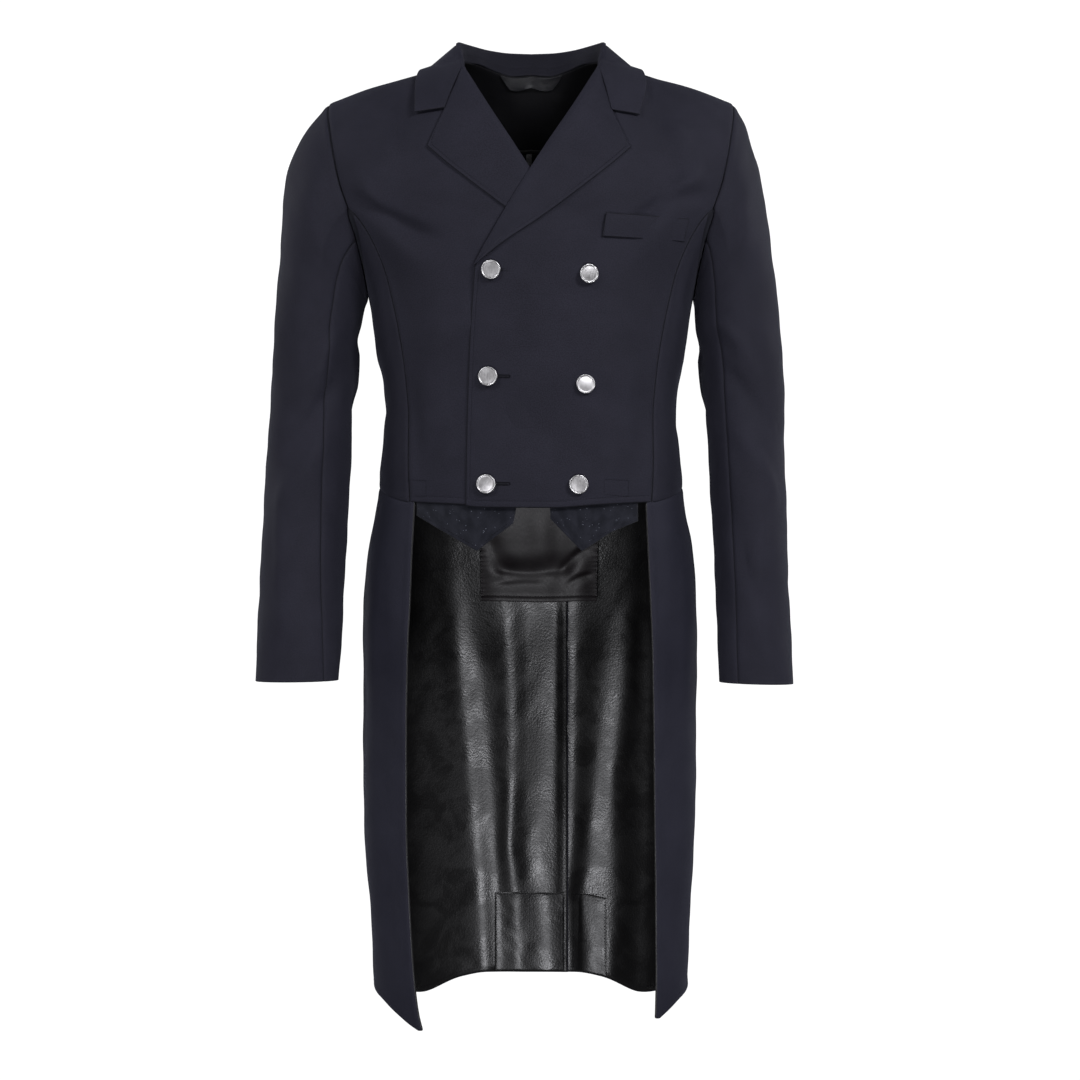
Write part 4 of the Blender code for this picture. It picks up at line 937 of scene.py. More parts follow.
def sleeveRings(hand):
    loop = armholeLoop()
    start, middle = 28, len(sideShare) // 2
    forearm = start + int(np.argmin(np.abs(sideShare - 0.125)))
    hind = start + len(sideShare) + 7
    run = runAlong(loop)
    whole = run[-1] + np.linalg.norm(loop[0] - loop[-1])
    bottom = run[start + middle]
    turn = np.where(run <= bottom, math.pi * run / bottom,
                    math.pi + math.pi * (run - bottom) / (whole - bottom))
    at = np.concatenate([[0, 0.06, 0.12, 0.2, 0.3, 0.42], np.linspace(0.55, 13.9, 96),
                         [13.94, 13.97, 14.0]])
    sections = smoothLine(np.array(sleevePiece[hand], dtype=float), at)
    rings = []
    for number, row in zip(at, sections):
        outerX, outerZ, innerX, innerZ, depth, middleY, seamAngle = row
        share = min(1.0, number / sleevePiece["capRings"])
        seam = blend(turn[forearm], math.radians(seamAngle), share)
        backSeam = blend(turn[hind], math.radians(sleevePiece["hindSeam"]), share)
        angle = np.interp(turn, [0, turn[forearm], math.pi, turn[hind], math.tau],
                          [0, seam, math.pi, backSeam, math.tau])
        top, low = np.array([outerX, middleY, outerZ]), np.array([innerX, middleY, innerZ])
        ring = (top + low) / 2 + np.cos(angle)[:, None] * (top - low) / 2
        ring = ring + np.sin(angle)[:, None] * np.array([0.0, -depth, 0.0])
        if number == 0:
            shift = loop - ring
        rings.append(np.column_stack([ring + shift * (1 - share) ** 1.5, np.degrees(angle)]))
    rings = np.array(rings)
    return rings[..., :3], rings[..., 3], forearm, hind


def makeSleeve(hand):
    rings, degrees, forearm, hind = sleeveRings(hand)
    normal = unit(np.cross(np.roll(rings, -1, axis=1) - np.roll(rings, 1, axis=1),
                           np.gradient(rings, axis=0)))
    height = rings[..., 2]
    cuff, cap = stepsFrom(rings, "top"), stepsFrom(rings, "bottom")
    size = sleevePiece["degree"]
    table = [(a * size, b, c * size, d, e, f, g) for a, b, c, d, e, f, g in sleevePiece[hand + "Folds"]]
    relief = folds(degrees * size, height, table) + folds(degrees * size - 360 * size, height, table)
    phase = 3.0 if hand == "left" else 4.1
    relief += unevenness(degrees * size, height, sleevePiece["drift"], 120.0, phase)
    relief *= eased(cap / 45) * (0.25 + 0.75 * eased(cuff / 60))
    count = rings.shape[1]
    upper = [column % count for column in range(hind, count + forearm + 1)]
    under = list(range(forearm, hind + 1))
    relief = relief * sleevePiece["foldShare"]
    for half, columns in (("upper", upper), ("under", under)):
        part = rings[:, columns]
        near = np.array([0.7, 1.7, 3.0]) / float(np.linalg.norm(part[60, 1] - part[60, 0]))
        far = np.array([3.0, 1.7, 0.7]) / float(np.linalg.norm(part[60, -1] - part[60, -2]))
        last = len(columns) - 1
        at = np.concatenate([[0], near[near < 0.8], np.arange(1, last), last - far[far < 0.8], [last]])
        low = np.minimum(at.astype(int), last - 1)
        share = (at - low)[None, :]
        part = blend(part[:, low], part[:, low + 1], share[..., None])
        facing, rises, caps = [
            blend(values[:, columns][:, low], values[:, columns][:, low + 1], weight)
            for values, weight in ((normal, share[..., None]), (relief, share), (cap, share))]
        seam = sum(sewnEdge(stepsFrom(part, side), 0.9, 1.6, 0.2) for side in ("start", "end"))
        shape = rises + seam + sewnEdge(caps, 0.9, 1.6, 0.55)
        outer = part + facing * shape[..., None]
        inner = part + facing * (shape * 0.8 - cloth["suiting"])[..., None]
        sewSheet("sleeve_" + half + "_" + hand, outer, inner, ("suiting", "lining", "edge"), "suiting",
                 sleevePiece[half], hand == "right", 0.2, ("start", "end", "bottom"))


# Lapels, turned back over the fronts along the roll line

lapelPiece = {
    # edge x and z from the break up to the tip and along the gorge to the notch
    "right": (
        (-55, -184), (-25.4, -161), (10, -137.4), (53, -105.5), (92, -74.5),
        (112, -56.5), (103, -36), (94, -15.5),
    ),
    "left": (
        (-55, -184), (-25.4, -161), (10, -137.4), (54, -104.5), (89, -76.5),
        (108, -59), (98.5, -39), (88, -18),
    ),
    # beyond the roll line and height off the front
    "roll": ((0.15, -1.6), (1.5, -1.2), (2.2, 0.4), (1.5, 1.9), (0.0, 2.5)),
    "outer": 2.95, "inner": 1.35, "swell": 1.5, "edgeLine": 4.2, "drift": 0.35,
    "leftFolds": ((40, -70, 96, -58, 12, 0.6, 3), (-20, -140, 40, -100, 10, 0.5, 4)),
    "rightFolds": ((46, -66, 100, -62, 12, 0.7, -3), (70, -20, 80, -60, 10, -0.5, 3)),
    "flat": (0.11, 0.26), "area": 0.0138,
}


def lapelRoll(t):
    # the roll line at a row of the lapel
    if t <= 2:
        z = float(np.interp(t, [0, 1, 2], [limits["break"], -153.0, body["chest"]]))
        return float(curve(seams["rollLine"], z)), z
    arch = (t - 2) / 7 * body["archLength"]
    x = 0.0
    for _ in range(12):
        x = float(curve(seams["rollLine"], archToHeight(x, arch)))
    return x, float(archToHeight(x, arch))


def lapelEdge(hand, t):
    rows = np.array(lapelPiece[hand], dtype=float)
    if t >= 5:
        return blend(rows[5], rows[7], (t - 5) / 2)
    return smoothLine(rows[:6], np.array([t]))[0]


def lapelRows():
    return np.concatenate([[0, 0.02, 0.05, 0.09], np.linspace(0.15, 4.75, 52),
                           [4.82, 4.88, 4.93, 4.97, 5.0, 5.04, 5.09, 5.15, 5.22, 5.3],
                           np.linspace(5.42, 6.94, 20), [6.97, 7.0]])


def makeLapel(hand):
    outer, inner, places = [], [], []
    rollShape = smoothLine(np.array(lapelPiece["roll"], dtype=float), np.linspace(0, 4, 13))
    for t in lapelRows():
        rollX, rollZ = lapelRoll(t)
        edgeX, edgeZ = lapelEdge(hand, t)
        run = np.array([edgeX - rollX, edgeZ - rollZ])
        width = float(np.linalg.norm(run))
        away, size = -run / width, min(1.0, width / 8.0)
        marks = np.minimum(np.array((0, 0.6, 1.3, 2.2, 3.2, 4.2, 5.2, 6.4, 8)), width * 0.4)
        reach = np.linspace(1.2 * size, width - marks[-1], 22)[:-1]
        reach = np.maximum.accumulate(np.concatenate([reach, width - marks[::-1]]))
        flat = np.stack([rollX - away[0] * reach, rollZ - away[1] * reach,
                         np.full_like(reach, lapelPiece["outer"])], axis=-1)
        turned = np.stack([rollX + away[0] * rollShape[:, 0], rollZ + away[1] * rollShape[:, 0],
                           rollShape[:, 1]], axis=-1)
        swell = lapelPiece["swell"] * np.exp(-((reach - 7 * size) / 9) ** 2) * size
        edge = width - reach
        tip = np.minimum(edge, np.where(t > 5, (7.3 - t) * 30, 99.0))
        flat[:, 2] += swell + stitchedEdge(np.minimum(tip, 99.0), lapelPiece["edgeLine"], 0.3)
        outer.append(np.concatenate([turned, flat]))
        under = flat.copy()
        under[:, 2] = lapelPiece["inner"]
        hidden = np.stack([rollX + away[0] * rollShape[:, 0] * 0.28,
                           rollZ + away[1] * rollShape[:, 0] * 0.28,
                           np.linspace(0.0, 0.8, len(rollShape))], axis=-1)
        inner.append(np.concatenate([hidden, under]))
    result = []
    for grid, isOuter in ((np.array(outer), True), (np.array(inner), False)):
        x, z, lift = np.moveaxis(grid, -1, 0)
        lap = frontLap(x, z) if hand == "left" else 0.0
        relief = 0.0
        if isOuter:
            quiet = eased((np.arange(x.shape[1]) - 12) / 6)[None, :]
            relief = folds(x, z, lapelPiece[hand + "Folds"])
            relief = (relief + unevenness(x, z, lapelPiece["drift"], 70.0, 1.1)) * quiet
        result.append(torso(x, heightToArch(x, z), -1, lift + lap + relief))
    sewSheet("lapel_" + hand, *result, ("suiting", "suiting", "edge"), "suiting",
             dict(lapelPiece, restsOn=["front_" + hand]), hand == "right", 0.3, ("end",))


for hand in ("left", "right"):
    makeSleeve(hand)
    makeLapel(hand)
print("coat: sleeves and lapels made")


# Collar: fold x, y, z and edge x, y, z, from the centre back to the gorge

collarPiece = {
    "stations": (
        (0, 64, 71, 0, 68, 27), (24, 61.5, 71.5, 28, 66, 27), (47, 52, 73, 57, 61, 28),
        (68, 31, 75, 90, 47, 31), (83, 3, 76, 119, 6, 39), (80.5, -22, 64, 127, -46, 11),
        (72, -49, 39, 122.6, -78, -18),
    ),
    "tip": {"right": (126.5, -19.6), "left": (118.6, -22.6)},
    "clearance": 4.3, "rounding": 60, "notchShare": 0.55, "neckCentre": (0.0, -6.0, 0.0),
    # outward and upward of the outer face, then of the inner face
    "fold": ((-1.0, 0.4, 1.0, 0.4), (-0.5, 2.5, 1.1, 0.9), (1.2, 3.6, 1.5, 1.5), (3.2, 3.0, 2.2, 1.3)),
    "edgeLine": 4.0, "standLine": 9.0,
    "stand": {"flat": (0.30, 0.034), "area": 0.0072},
    "fall": {"flat": (0.48, 0.078), "area": 0.0265, "held": "folded"},
}


def clearOfTorso(points, clearance, settle):
    # stands points off the shoulders; settle 1 rests them exactly at the clearance
    x, y, z = points[..., 0], points[..., 1], points[..., 2]
    depth = np.where(y < 0, curve(body["sections"], z, 2), curve(body["sections"], z, 3))
    width = curve(body["sections"], z, 1)
    power = body["power"]
    depth = depth * np.clip(1 - (np.abs(x) / width) ** power, 0.01, None) ** (1 / power)
    rise = ridgeHeight(x) - body["chest"]
    radius = np.hypot(y, z - body["chest"])
    surface = radius / np.sqrt((y / depth) ** 2 + ((z - body["chest"]) / rise) ** 2)
    exact = (surface + clearance) / radius
    scale = blend(np.maximum(1.0, exact), exact, settle)
    return np.stack([x, y * scale, body["chest"] + (z - body["chest"]) * scale], axis=-1)


def neckline():
    x = np.array([0.0, 22, 43, 62, 78])
    back = torso(x, body["archLength"] * backRise(x), 1)
    front = [torso(neckEdgeAt(row / 7), row / 7 * body["archLength"], -1) for row in (6, 5)]
    return np.concatenate([back, np.array(front)])


def collarHalf(hand):
    stations = np.array(collarPiece["stations"], dtype=float)
    tipX, tipZ = collarPiece["tip"][hand]
    stations[-1, 3:] = tipX, float(torso(tipX, heightToArch(tipX, tipZ), -1)[1]), tipZ
    corners = neckline()
    gorgeX, gorgeZ = corners[-1, 0], corners[-1, 2]
    lapelX, lapelZ = lapelPiece[hand][-1]
    away = unit(np.array([gorgeX - lapelX, gorgeZ - lapelZ]))
    beyond = torso(gorgeX + away[0], heightToArch(gorgeX + away[0], gorgeZ + away[1]), -1)
    raised = torso(gorgeX, heightToArch(gorgeX, gorgeZ), -1, 1.0)
    gorgeUp = unit(beyond - corners[-1])
    stations[-1, :3] = corners[-1] + gorgeUp * 2.4
    at = np.concatenate([np.linspace(0, 5.85, 66), [5.9, 5.94, 5.97, 6.0]])
    base = smoothLine(corners, at)
    fold, edge = smoothLine(stations[:, :3], at), smoothLine(stations[:, 3:], at)
    for _ in range(collarPiece["rounding"]):
        turn = np.exp(-((at[1:-1] - 4.2) / 0.7) ** 2)[:, None] * 0.5
        fold[1:-1] = blend(fold[1:-1], (fold[:-2] + fold[2:]) / 2, turn)
    lying = eased((2 * at - 9) / 3)[:, None]
    up = unit(blend(unit(fold - base), gorgeUp, lying))
    radial = unit((base - np.array(collarPiece["neckCentre"])) * np.array([1.0, 1.0, 0.0]))
    outward = blend(radial, unit(raised - corners[-1]), lying)
    outward = unit(outward - up * np.sum(outward * up, axis=-1, keepdims=True))
    height = np.linalg.norm(fold - base, axis=-1, keepdims=True)
    size = blend(1.0, 0.7, lying)
    thick = cloth["collar"]
    foot = base - outward * thick / 2
    top = foot + up * np.maximum(height - 3.6, 0.6)
    levels = np.linspace(-0.08, 1, 22)[None, :, None]
    stand = foot[:, None] + (top - foot)[:, None] * levels
    rise = np.linalg.norm(stand - foot[:, None], axis=-1)
    dent = -0.3 * bump(rise, np.minimum(collarPiece["standLine"], height * 0.55), 1.0) \
        * eased((height - 10) / 8)
    standOuter = stand - outward[:, None] * (thick / 2 + dent[..., None])
    standInner = stand + outward[:, None] * thick / 2
    profile = smoothLine(np.array(collarPiece["fold"], dtype=float), np.linspace(0, 3, 10))
    outer = [top + outward * row[0] + up * (row[1] * size) for row in profile]
    inner = [top + outward * row[2] + up * (row[3] * size) for row in profile]
    start = top + outward * 3.0 + up * 0.6
    notch = torso(lapelX, heightToArch(lapelX, lapelZ), -1)
    shares = np.concatenate([np.linspace(0.06, 0.86, 24),
                             [0.885, 0.91, 0.93, 0.95, 0.965, 0.98, 0.99, 1.0]])
    middle, turning = [(outer[-1] + inner[-1]) / 2], collarPiece["notchShare"]
    for share in shares:
        place = blend(start, edge, share)
        if share > turning:
            bend = blend(notch, edge, (share - turning) / (1 - turning))
        else:
            bend = blend(start, notch, share / turning)
        place = blend(place, bend, lying)
        middle.append(clearOfTorso(place, collarPiece["clearance"], eased((share - 0.75) / 0.25)))
    middle = np.stack(middle, axis=1)
    normal = unit(np.cross(np.gradient(middle, axis=1), np.gradient(middle, axis=0)))[:, 1:]
    fromEdge = stepsFrom(middle, "end")[:, 1:]
    fromEnd = stepsFrom(middle, "top")[:, 1:]
    drawn = stitchedEdge(np.minimum(fromEdge, fromEnd), collarPiece["edgeLine"], 0.3)
    drawn += 0.8 * bump(fromEdge, 30, 16) * eased((fromEnd - 20) / 40)
    falls = middle[:, 1:] + normal * (thick / 2 + drawn)[..., None], middle[:, 1:] - normal * thick / 2
    outer, inner = [np.concatenate([np.stack(rows, axis=1), fall], 1)
                    for rows, fall in zip((outer, inner), falls)]
    return standOuter, standInner, outer, inner


def makeCollar():
    left = collarHalf("left")
    right = [half * np.array([-1.0, 1.0, 1.0]) for half in collarHalf("right")]
    whole = [np.concatenate([other[:0:-1], half]) for half, other in zip(left, right)]
    # the stand takes the darker stand cloth, which is painted shade under the fall
    sewSheet("collar_stand", *whole[:2], ("stand", "stand", "edge"), "suiting", collarPiece["stand"],
             bulge=0.3)
    sewSheet("collar_fall", *whole[2:], ("suiting", "suiting", "edge"), "suiting", collarPiece["fall"],
             bulge=0.3, turned=allSides[1:])
    return whole


collarWhole = makeCollar()
print("coat: collar made")


# Breast pocket welt and the tail pieces

weltPiece = {
    "bottom": ((76, -156.5), (167, -158)), "top": ((80.5, -131.5), (171, -134)),
    "cloth": 1.5, "lift": 0.95, "width": 91.0, "height": 25.0,
    "flat": (0.1, 0.03), "restsOn": ["front_left"],
}


def weltPlace(across, up):
    low = blend(np.array(weltPiece["bottom"][0]), np.array(weltPiece["bottom"][1]), across)
    high = blend(np.array(weltPiece["top"][0]), np.array(weltPiece["top"][1]), across)
    return blend(low, high, up)


def makeWelt():
    width, height = weltPiece["width"], weltPiece["height"]
    across = edgeMarks(width, 22, near=(0, 0.6, 1.3, 2.2, 3.4), far=(0, 0.6, 1.3, 2.2, 3.4))
    up = edgeMarks(height, 8, near=(0, 0.5, 1.1, 1.8, 2.8), far=(0, 0.6, 1.3, 2.2, 3.2))
    places = np.array([[weltPlace(a, u) for a in across] for u in up])
    x, z = places[..., 0], places[..., 1]
    edge = np.minimum(np.minimum(across, 1 - across)[None, :] * width,
                      np.minimum(up, 1 - up)[:, None] * height)
    lift = frontLap(x, z) + weltPiece["lift"] - 0.4 * np.exp(-(edge / 0.9) ** 2)
    lift = lift - 0.25 * bump(edge, 2.0, 0.6) + 0.5 * eased(up)[:, None]
    lift = lift + unevenness(x, z, 0.15, 40.0, 2.0)
    arch = heightToArch(x, z)
    outer = torso(x, arch, -1, lift + weltPiece["cloth"])
    inner = torso(x, arch, -1, frontLap(x, z) + 0.3)
    sewSheet("pocket_welt", outer, inner, ("suiting", "edge", "edge"), "suiting", weltPiece,
             bulge=0.15, turned=allSides)


pointPiece = {
    "top": -420.0, "cloth": 1.2, "drop": 2.55,
    # side distance and bottom height of each corner
    "right": ((-126, -457), (-92, -477), (-59, -496), (-38, -480), (-19, -466), (-16, -451)),
    "left": ((21.5, -461), (38, -478), (56, -496), (72, -486), (89, -475), (118, -463)),
    "flat": (0.12, 0.078), "area": 0.0062,
}


def makePoints():
    for hand in ("right", "left"):
        outline = np.array(pointPiece[hand], dtype=float)
        x = np.interp(np.linspace(0, 5, 61), np.arange(6), outline[:, 0])
        low = np.interp(x, outline[:, 0], outline[:, 1])
        up = edgeMarks(50.0, 10, near=(0, 0.6, 1.3, 2.2, 3.2, 4.4, 6, 8))
        z = blend(low[None, :], pointPiece["top"], up[:, None])
        x = np.broadcast_to(x, z.shape)
        depth = stitchedEdge(up[:, None] * (pointPiece["top"] - low)[None, :], 3.0, 0.25)
        depth = -pointPiece["drop"] + depth + unevenness(x, z, 0.3, 45.0, 1.9)
        outer = torso(x, z - body["chest"], -1, depth)
        inner = torso(x, z - body["chest"], -1, -pointPiece["drop"] - pointPiece["cloth"])
        sewSheet("vest_point_" + hand, outer, inner, ("suede", "lining", "suede"), "suede", pointPiece,
                 bulge=0.3)


makeWelt()
makePoints()


tailPiece = {
    # angle round the body and height of the hem
    "hem": (
        (40, -1023), (44, -1022), (48, -1018), (57, -1006), (72, -990), (90, -983),
        (115, -993), (136, -1003), (156, -988), (166, -984), (180, -984),
    ),
    # height and side distance of the front edge on the right and on the left
    "edge": (
        (-1023, 119, 137), (-1002, 124, 138), (-959, 129, 138.5), (-915, 132, 138),
        (-856, 135, 137.5), (-797, 137, 136.5), (-701, 137, 135.5), (-593, 135, 133.5),
        (-559, 133, 132), (-497, 130.5, 129), (-443, 127.5, 126.5),
    ),
    "facing": 5.0, "underlap": 43.0, "step": 3.0, "drift": 1.2,
    # angle, height to angle, height, reach, height, bow
    "leftFolds": (
        (66, -450, 72, -960, 26, 2.6, 8), (96, -440, 104, -990, 30, 2.8, -10),
        (128, -430, 140, -1000, 28, 3.0, 9), (158, -440, 152, -980, 22, 2.2, -6),
        (52, -560, 56, -1000, 13, -1.4, 4), (84, -640, 88, -985, 15, -1.8, 5),
    ),
    "rightFolds": (
        (62, -455, 70, -950, 24, 2.6, -8), (92, -440, 98, -985, 28, 2.8, 9),
        (122, -430, 134, -1000, 30, 3.0, -9), (156, -440, 160, -980, 24, 2.2, 6),
        (50, -600, 54, -1000, 13, -1.4, -4), (80, -620, 84, -985, 15, -1.8, -5),
    ),
    "cut": {"left": {"flat": (0.36, 0.62), "area": 0.196},
            "right": {"flat": (0.40, 0.63), "area": 0.221}},
    "piping": {"flat": (0.0105, 0.585), "area": 0.0045},
}


def tailGrid(hand):
    column = 1 if hand == "right" else 2
    first, last = sideAngle[0, 0], sideAngle[0, -1]
    beside = np.linspace(0, 1, 37)
    backTurn = angleAt(backX[0, ::-1], np.full(backX.shape[1], limits["sideBack"]), 1)
    topAngle = np.concatenate([blend(first, last, beside), backTurn[1:]])
    topHeight = curve(seams["waist"], np.degrees(topAngle))
    topHeight[0] = limits["princess"]
    share = (topAngle - topAngle[0]) / (math.pi - topAngle[0])
    facing = np.array((0.0, 0.12, 0.28, 0.5, 0.75))
    angles, heights = [], []
    levels = np.concatenate([[0, 0.004, 0.009], np.linspace(0.02, 0.975, 62),
                             [0.983, 0.989, 0.994, 0.997, 1]])
    for level in levels:
        height, angle = topHeight.copy(), topAngle.copy()
        for _ in range(8):
            edge = curve(tailPiece["edge"], height[0], column)
            start = angleAt(edge + tailPiece["facing"], height[0], -1)
            angle = blend(start, math.pi, share) if level > 0 else angle
            height = blend(topHeight, curve(tailPiece["hem"], np.degrees(angle)), level)
        edgeX = float(roundBase(angle[0], height[0])[0]) - tailPiece["facing"]
        edgeTurn = angleAt(edgeX, height[0], -1)
        angles.append(np.concatenate([blend(edgeTurn, angle[0], facing), angle]))
        heights.append(np.concatenate([np.full(5, height[0]), height]))
    angle, height = np.array(angles)[::-1], np.array(heights)[::-1]
    if hand == "right":
        centre = height[:, -1]
        for reach in np.linspace(0, tailPiece["underlap"], 13)[1:]:
            angle = np.column_stack([angle, angleAt(np.full(len(centre), -reach), centre, 1)])
            height = np.column_stack([height, centre])
    return angle, height


def tailStep(hand, angle, height):
    if hand == "left":
        return np.zeros_like(angle)
    return -tailPiece["step"] * eased((34 - roundBase(angle, height)[..., 0]) / 30)


def makeTail(hand):
    angle, height = tailGrid(hand)
    step = tailStep(hand, angle, height)
    plain = around(angle, height, step)
    degrees = np.degrees(angle)
    edge, vent, low, high = allSteps(plain)
    quiet = eased((edge - 8) / 20) * eased(low / 16) * eased(high / 40) * eased(vent / 30)
    table = [(a * 2, b, c * 2, d, e, f, g) for a, b, c, d, e, f, g in tailPiece[hand + "Folds"]]
    phase = 5.0 if hand == "left" else 6.2
    relief = (folds(degrees * 2, height, table)
              + unevenness(degrees * 2, height, tailPiece["drift"], 150.0, phase))
    relief = np.maximum(relief, -1.5) * quiet
    shape = relief + sewnEdge(high, 0.8) + 0.7 * bump(edge, 3.6, 2.2) - 0.5 * bump(edge, 8.6, 1.3)
    shape += stitchedEdge(low, 8.0, 0.25) - 0.35 * np.exp(-(vent / 0.9) ** 2)
    outer = around(angle, height, step + shape)
    inner = around(angle, height, step - cloth["tailShell"] + np.minimum(relief, 0) * quiet)
    sewSheet("tail_" + hand, outer, inner, ("tail", "tail", "piping"), "suiting", tailPiece["cut"][hand],
             hand == "right", 0.5)
    return outer


# Artificial leather linings, hung inside the tails, with the weight pockets over them

liningPiece = {
    # drape lines from the wearer's right to left: side distance at each height, and how far it stands in
    "heights": (-500, -580, -650, -710, -780, -840, -900, -950, -990),
    "drapes": (
        ((-132, -132, -133, -134, -134, -134, -134, -132, -130), 0.0),
        ((-110, -108, -106, -106, -104, -102, -100, -98, -96), 1.5),
        ((-97, -89, -84, -78, -72, -66, -60, -57, -55), 0.2),
        ((-78, -66, -55, -50, -44, -40, -38, -37, -36), 5.0),
        ((-30, -24, -20, -19, -22, -28, -16, -13, -12), 0.0),
        ((26, 26, 25, 22, 16, 8, 16, 18, 18), 4.8),
        ((50, 50, 50, 50, 50, 49, 42, 44, 46), 0.0),
        ((88, 86, 82, 78, 72, 66, 60, 66, 68), 5.0),
        ((118, 116, 113, 104, 95, 98, 104, 96, 92), 0.2),
        ((128, 127, 127, 126, 125, 124, 124, 122, 120), 3.0),
        ((140, 140, 140, 140, 140, 140, 140, 138, 136), 0.0),
    ),
    "starts": (-500, -640), "drift": 0.5, "facingSeam": 8.0,
    "soften": ((-7.0, 0.12), (-3.5, 0.23), (0.0, 0.3), (3.5, 0.23), (7.0, 0.12)),
    "weightPockets": {"right": (43.0, -39.0), "left": (47.0, 88.0)}, "pocketHeight": 92.0,
    "pocketLift": 1.15,
    "pocketCut": {"right": {"flat": (0.085, 0.095)}, "left": {"flat": (0.045, 0.095)}},
    "cut": {"left": {"flat": (0.34, 0.61), "area": 0.188},
            "right": {"flat": (0.385, 0.62), "area": 0.212}},
}


def liningRelief(x, z):
    # how far the lining stands in towards the wearer: round ridges with tight valleys between
    x, z = np.broadcast_arrays(np.asarray(x, float), np.asarray(z, float))
    soft = sum(drapeHeight(x + shift, z) * share for shift, share in liningPiece["soften"])
    start, full = liningPiece["starts"]
    relief = soft * (0.12 + 0.88 * eased((start - z) / (start - full)))
    return relief + np.clip(unevenness(x, z, liningPiece["drift"], 55.0, 2.6), 0, None)


def pocketBed(hand, turn, z):
    # the lining's inner face, drapes aside, on which a weight pocket is sewn
    return tailStep(hand, turn, z) - cloth["tailShell"] - cloth["layerGap"] - liningPiece["pocketLift"]


def drapeHeight(x, z):
    drapes = liningPiece["drapes"]
    heights = np.array(liningPiece["heights"], float)[::-1]
    places = [np.interp(z, heights, np.array(row, float)[::-1]) for row, depth in drapes]
    relief = np.zeros_like(x)
    for number in range(len(drapes) - 1):
        first, last = places[number], places[number + 1]
        low, high = drapes[number][1], drapes[number + 1][1]
        share = np.clip((x - first) / (last - first), 0, 1)
        if high > low:
            value = low + (high - low) * np.sin(share * math.pi / 2) ** 1.5
        else:
            value = high + (low - high) * np.cos(share * math.pi / 2) ** 1.5
        relief = np.where((x >= first) & (x < last), value, relief)
    return relief


def makeTailInside(hand):
    mirror = hand == "right"
    sign = -1.0 if mirror else 1.0
    angle, height = tailGrid(hand)
    step = tailStep(hand, angle, height)
    angle, height, step = angle[:, 5:], height[:, 5:], step[:, 5:]
    back = step - cloth["tailShell"] - cloth["layerGap"]
    plain = around(angle, height, back)
    edge, vent, low, high = allSteps(plain)
    near = eased(edge / 16) * eased(vent / 14) * eased((high - 2) / 40) * eased(low / 10 + 0.2)
    relief = liningRelief(plain[..., 0] * sign, height) * near
    dent = stitchedEdge(low, 5.0, 0.3) + stitchedEdge(vent, 3.2, 0.3)
    if hand == "right":
        dent = dent - 0.7 * np.exp(-((vent - liningPiece["facingSeam"]) / 0.9) ** 2)
    outer = around(angle, height, back - relief * 0.6)
    inner = around(angle, height, back - cloth["lining"] - relief + np.clip(dent, -0.6, 0.2) * -1.0)
    for grid in (outer, inner):
        grid[:, 0] += unit(grid[:, 1] - grid[:, 0]) * 1.0
        grid[-1] += unit(grid[-2] - grid[-1]) * 1.0
        grid[0] += unit(grid[1] - grid[0]) * 1.2
        grid[:, -1] += unit(grid[:, -2] - grid[:, -1]) * 1.0
    liningInner[hand] = inner
    sewSheet("tail_lining_" + hand, outer, inner, ("leather",), "leather",
             dict(liningPiece["cut"][hand], restsOn=["tail_" + hand]), mirror, 0.4)

    first, last = liningPiece["weightPockets"][hand]
    rimMarks = (0, 0.7, 1.5, 2.4, 3.4)
    across = blend(first, last, edgeMarks(abs(last - first), 26, rimMarks, rimMarks))
    hem = curve(tailPiece["hem"], np.degrees(angleAt(across, np.full_like(across, limits["tail"]), 1)))
    up = edgeMarks(90.0, 26, rimMarks, rimMarks)
    z = hem[None, :] + 2.0 + (liningPiece["pocketHeight"] - 2.0) * up[:, None]
    x = np.broadcast_to(across, z.shape)
    turn = angleAt(x, z, 1)
    ventSide = np.abs(x - first) if hand == "left" else np.abs(x + tailPiece["underlap"])
    rise = liningRelief(x * sign, z) * eased(ventSide / 14 if hand == "left" else 1.0)
    depth = pocketBed(hand, turn, z) - rise
    rim = np.minimum(np.minimum(up, 1 - up)[:, None] * 90, np.abs(x - first))
    rim = np.minimum(rim, np.abs(x - last))
    puff = 0.35 * eased(rim / 8) - 0.3 * np.exp(-(rim / 0.8) ** 2)
    cut = dict(liningPiece["pocketCut"][hand], restsOn=["tail_lining_" + hand])
    sewSheet("weight_pocket_" + hand, around(turn, z, depth), around(turn, z, depth - 0.55 - puff),
             ("leather",), "leather", cut, mirror, 0.3)
    return x * sign, z, depth


def makeTailPiping(hand):
    # a bead of piping between the tail's faced edge and its lining
    angle, height = tailGrid(hand)
    step = tailStep(hand, angle, height)
    edge = around(angle[:, 0], height[:, 0], step[:, 0] - cloth["tailShell"] - cloth["layerGap"])
    within = around(angle[:, 5], height[:, 5], step[:, 5] - cloth["tailShell"] - cloth["layerGap"])
    normal = unit(around(angle[:, 0], height[:, 0], step[:, 0]) - edge)
    shares = np.linspace(0.04, 1.02, 12)
    strip = blend(edge[:, None], within[:, None], shares[None, :, None])
    rise = 1.0 + 0.75 * np.sqrt(np.clip(1 - ((shares - 0.3) / 0.3) ** 2, 0, 1))
    under = strip - normal[:, None] * rise[None, :, None]
    for grid in (strip, under):
        grid[0] += unit(grid[1] - grid[0]) * 0.6
        grid[-1] += unit(grid[-2] - grid[-1]) * 0.6
    sewSheet("tail_piping_" + hand, strip, under, ("piping",), "piping",
             dict(tailPiece["piping"], restsOn=["tail_" + hand]), hand == "right", 0.5)


pocketPlaces, tailOuter, liningInner = {}, {}, {}
for hand in ("left", "right"):
    tailOuter[hand] = makeTail(hand)
    pocketPlaces[hand] = makeTailInside(hand)
    makeTailPiping(hand)
print("coat: tails and their linings made")


# Satin flap inside the back waist, drawn in at its overcast sides

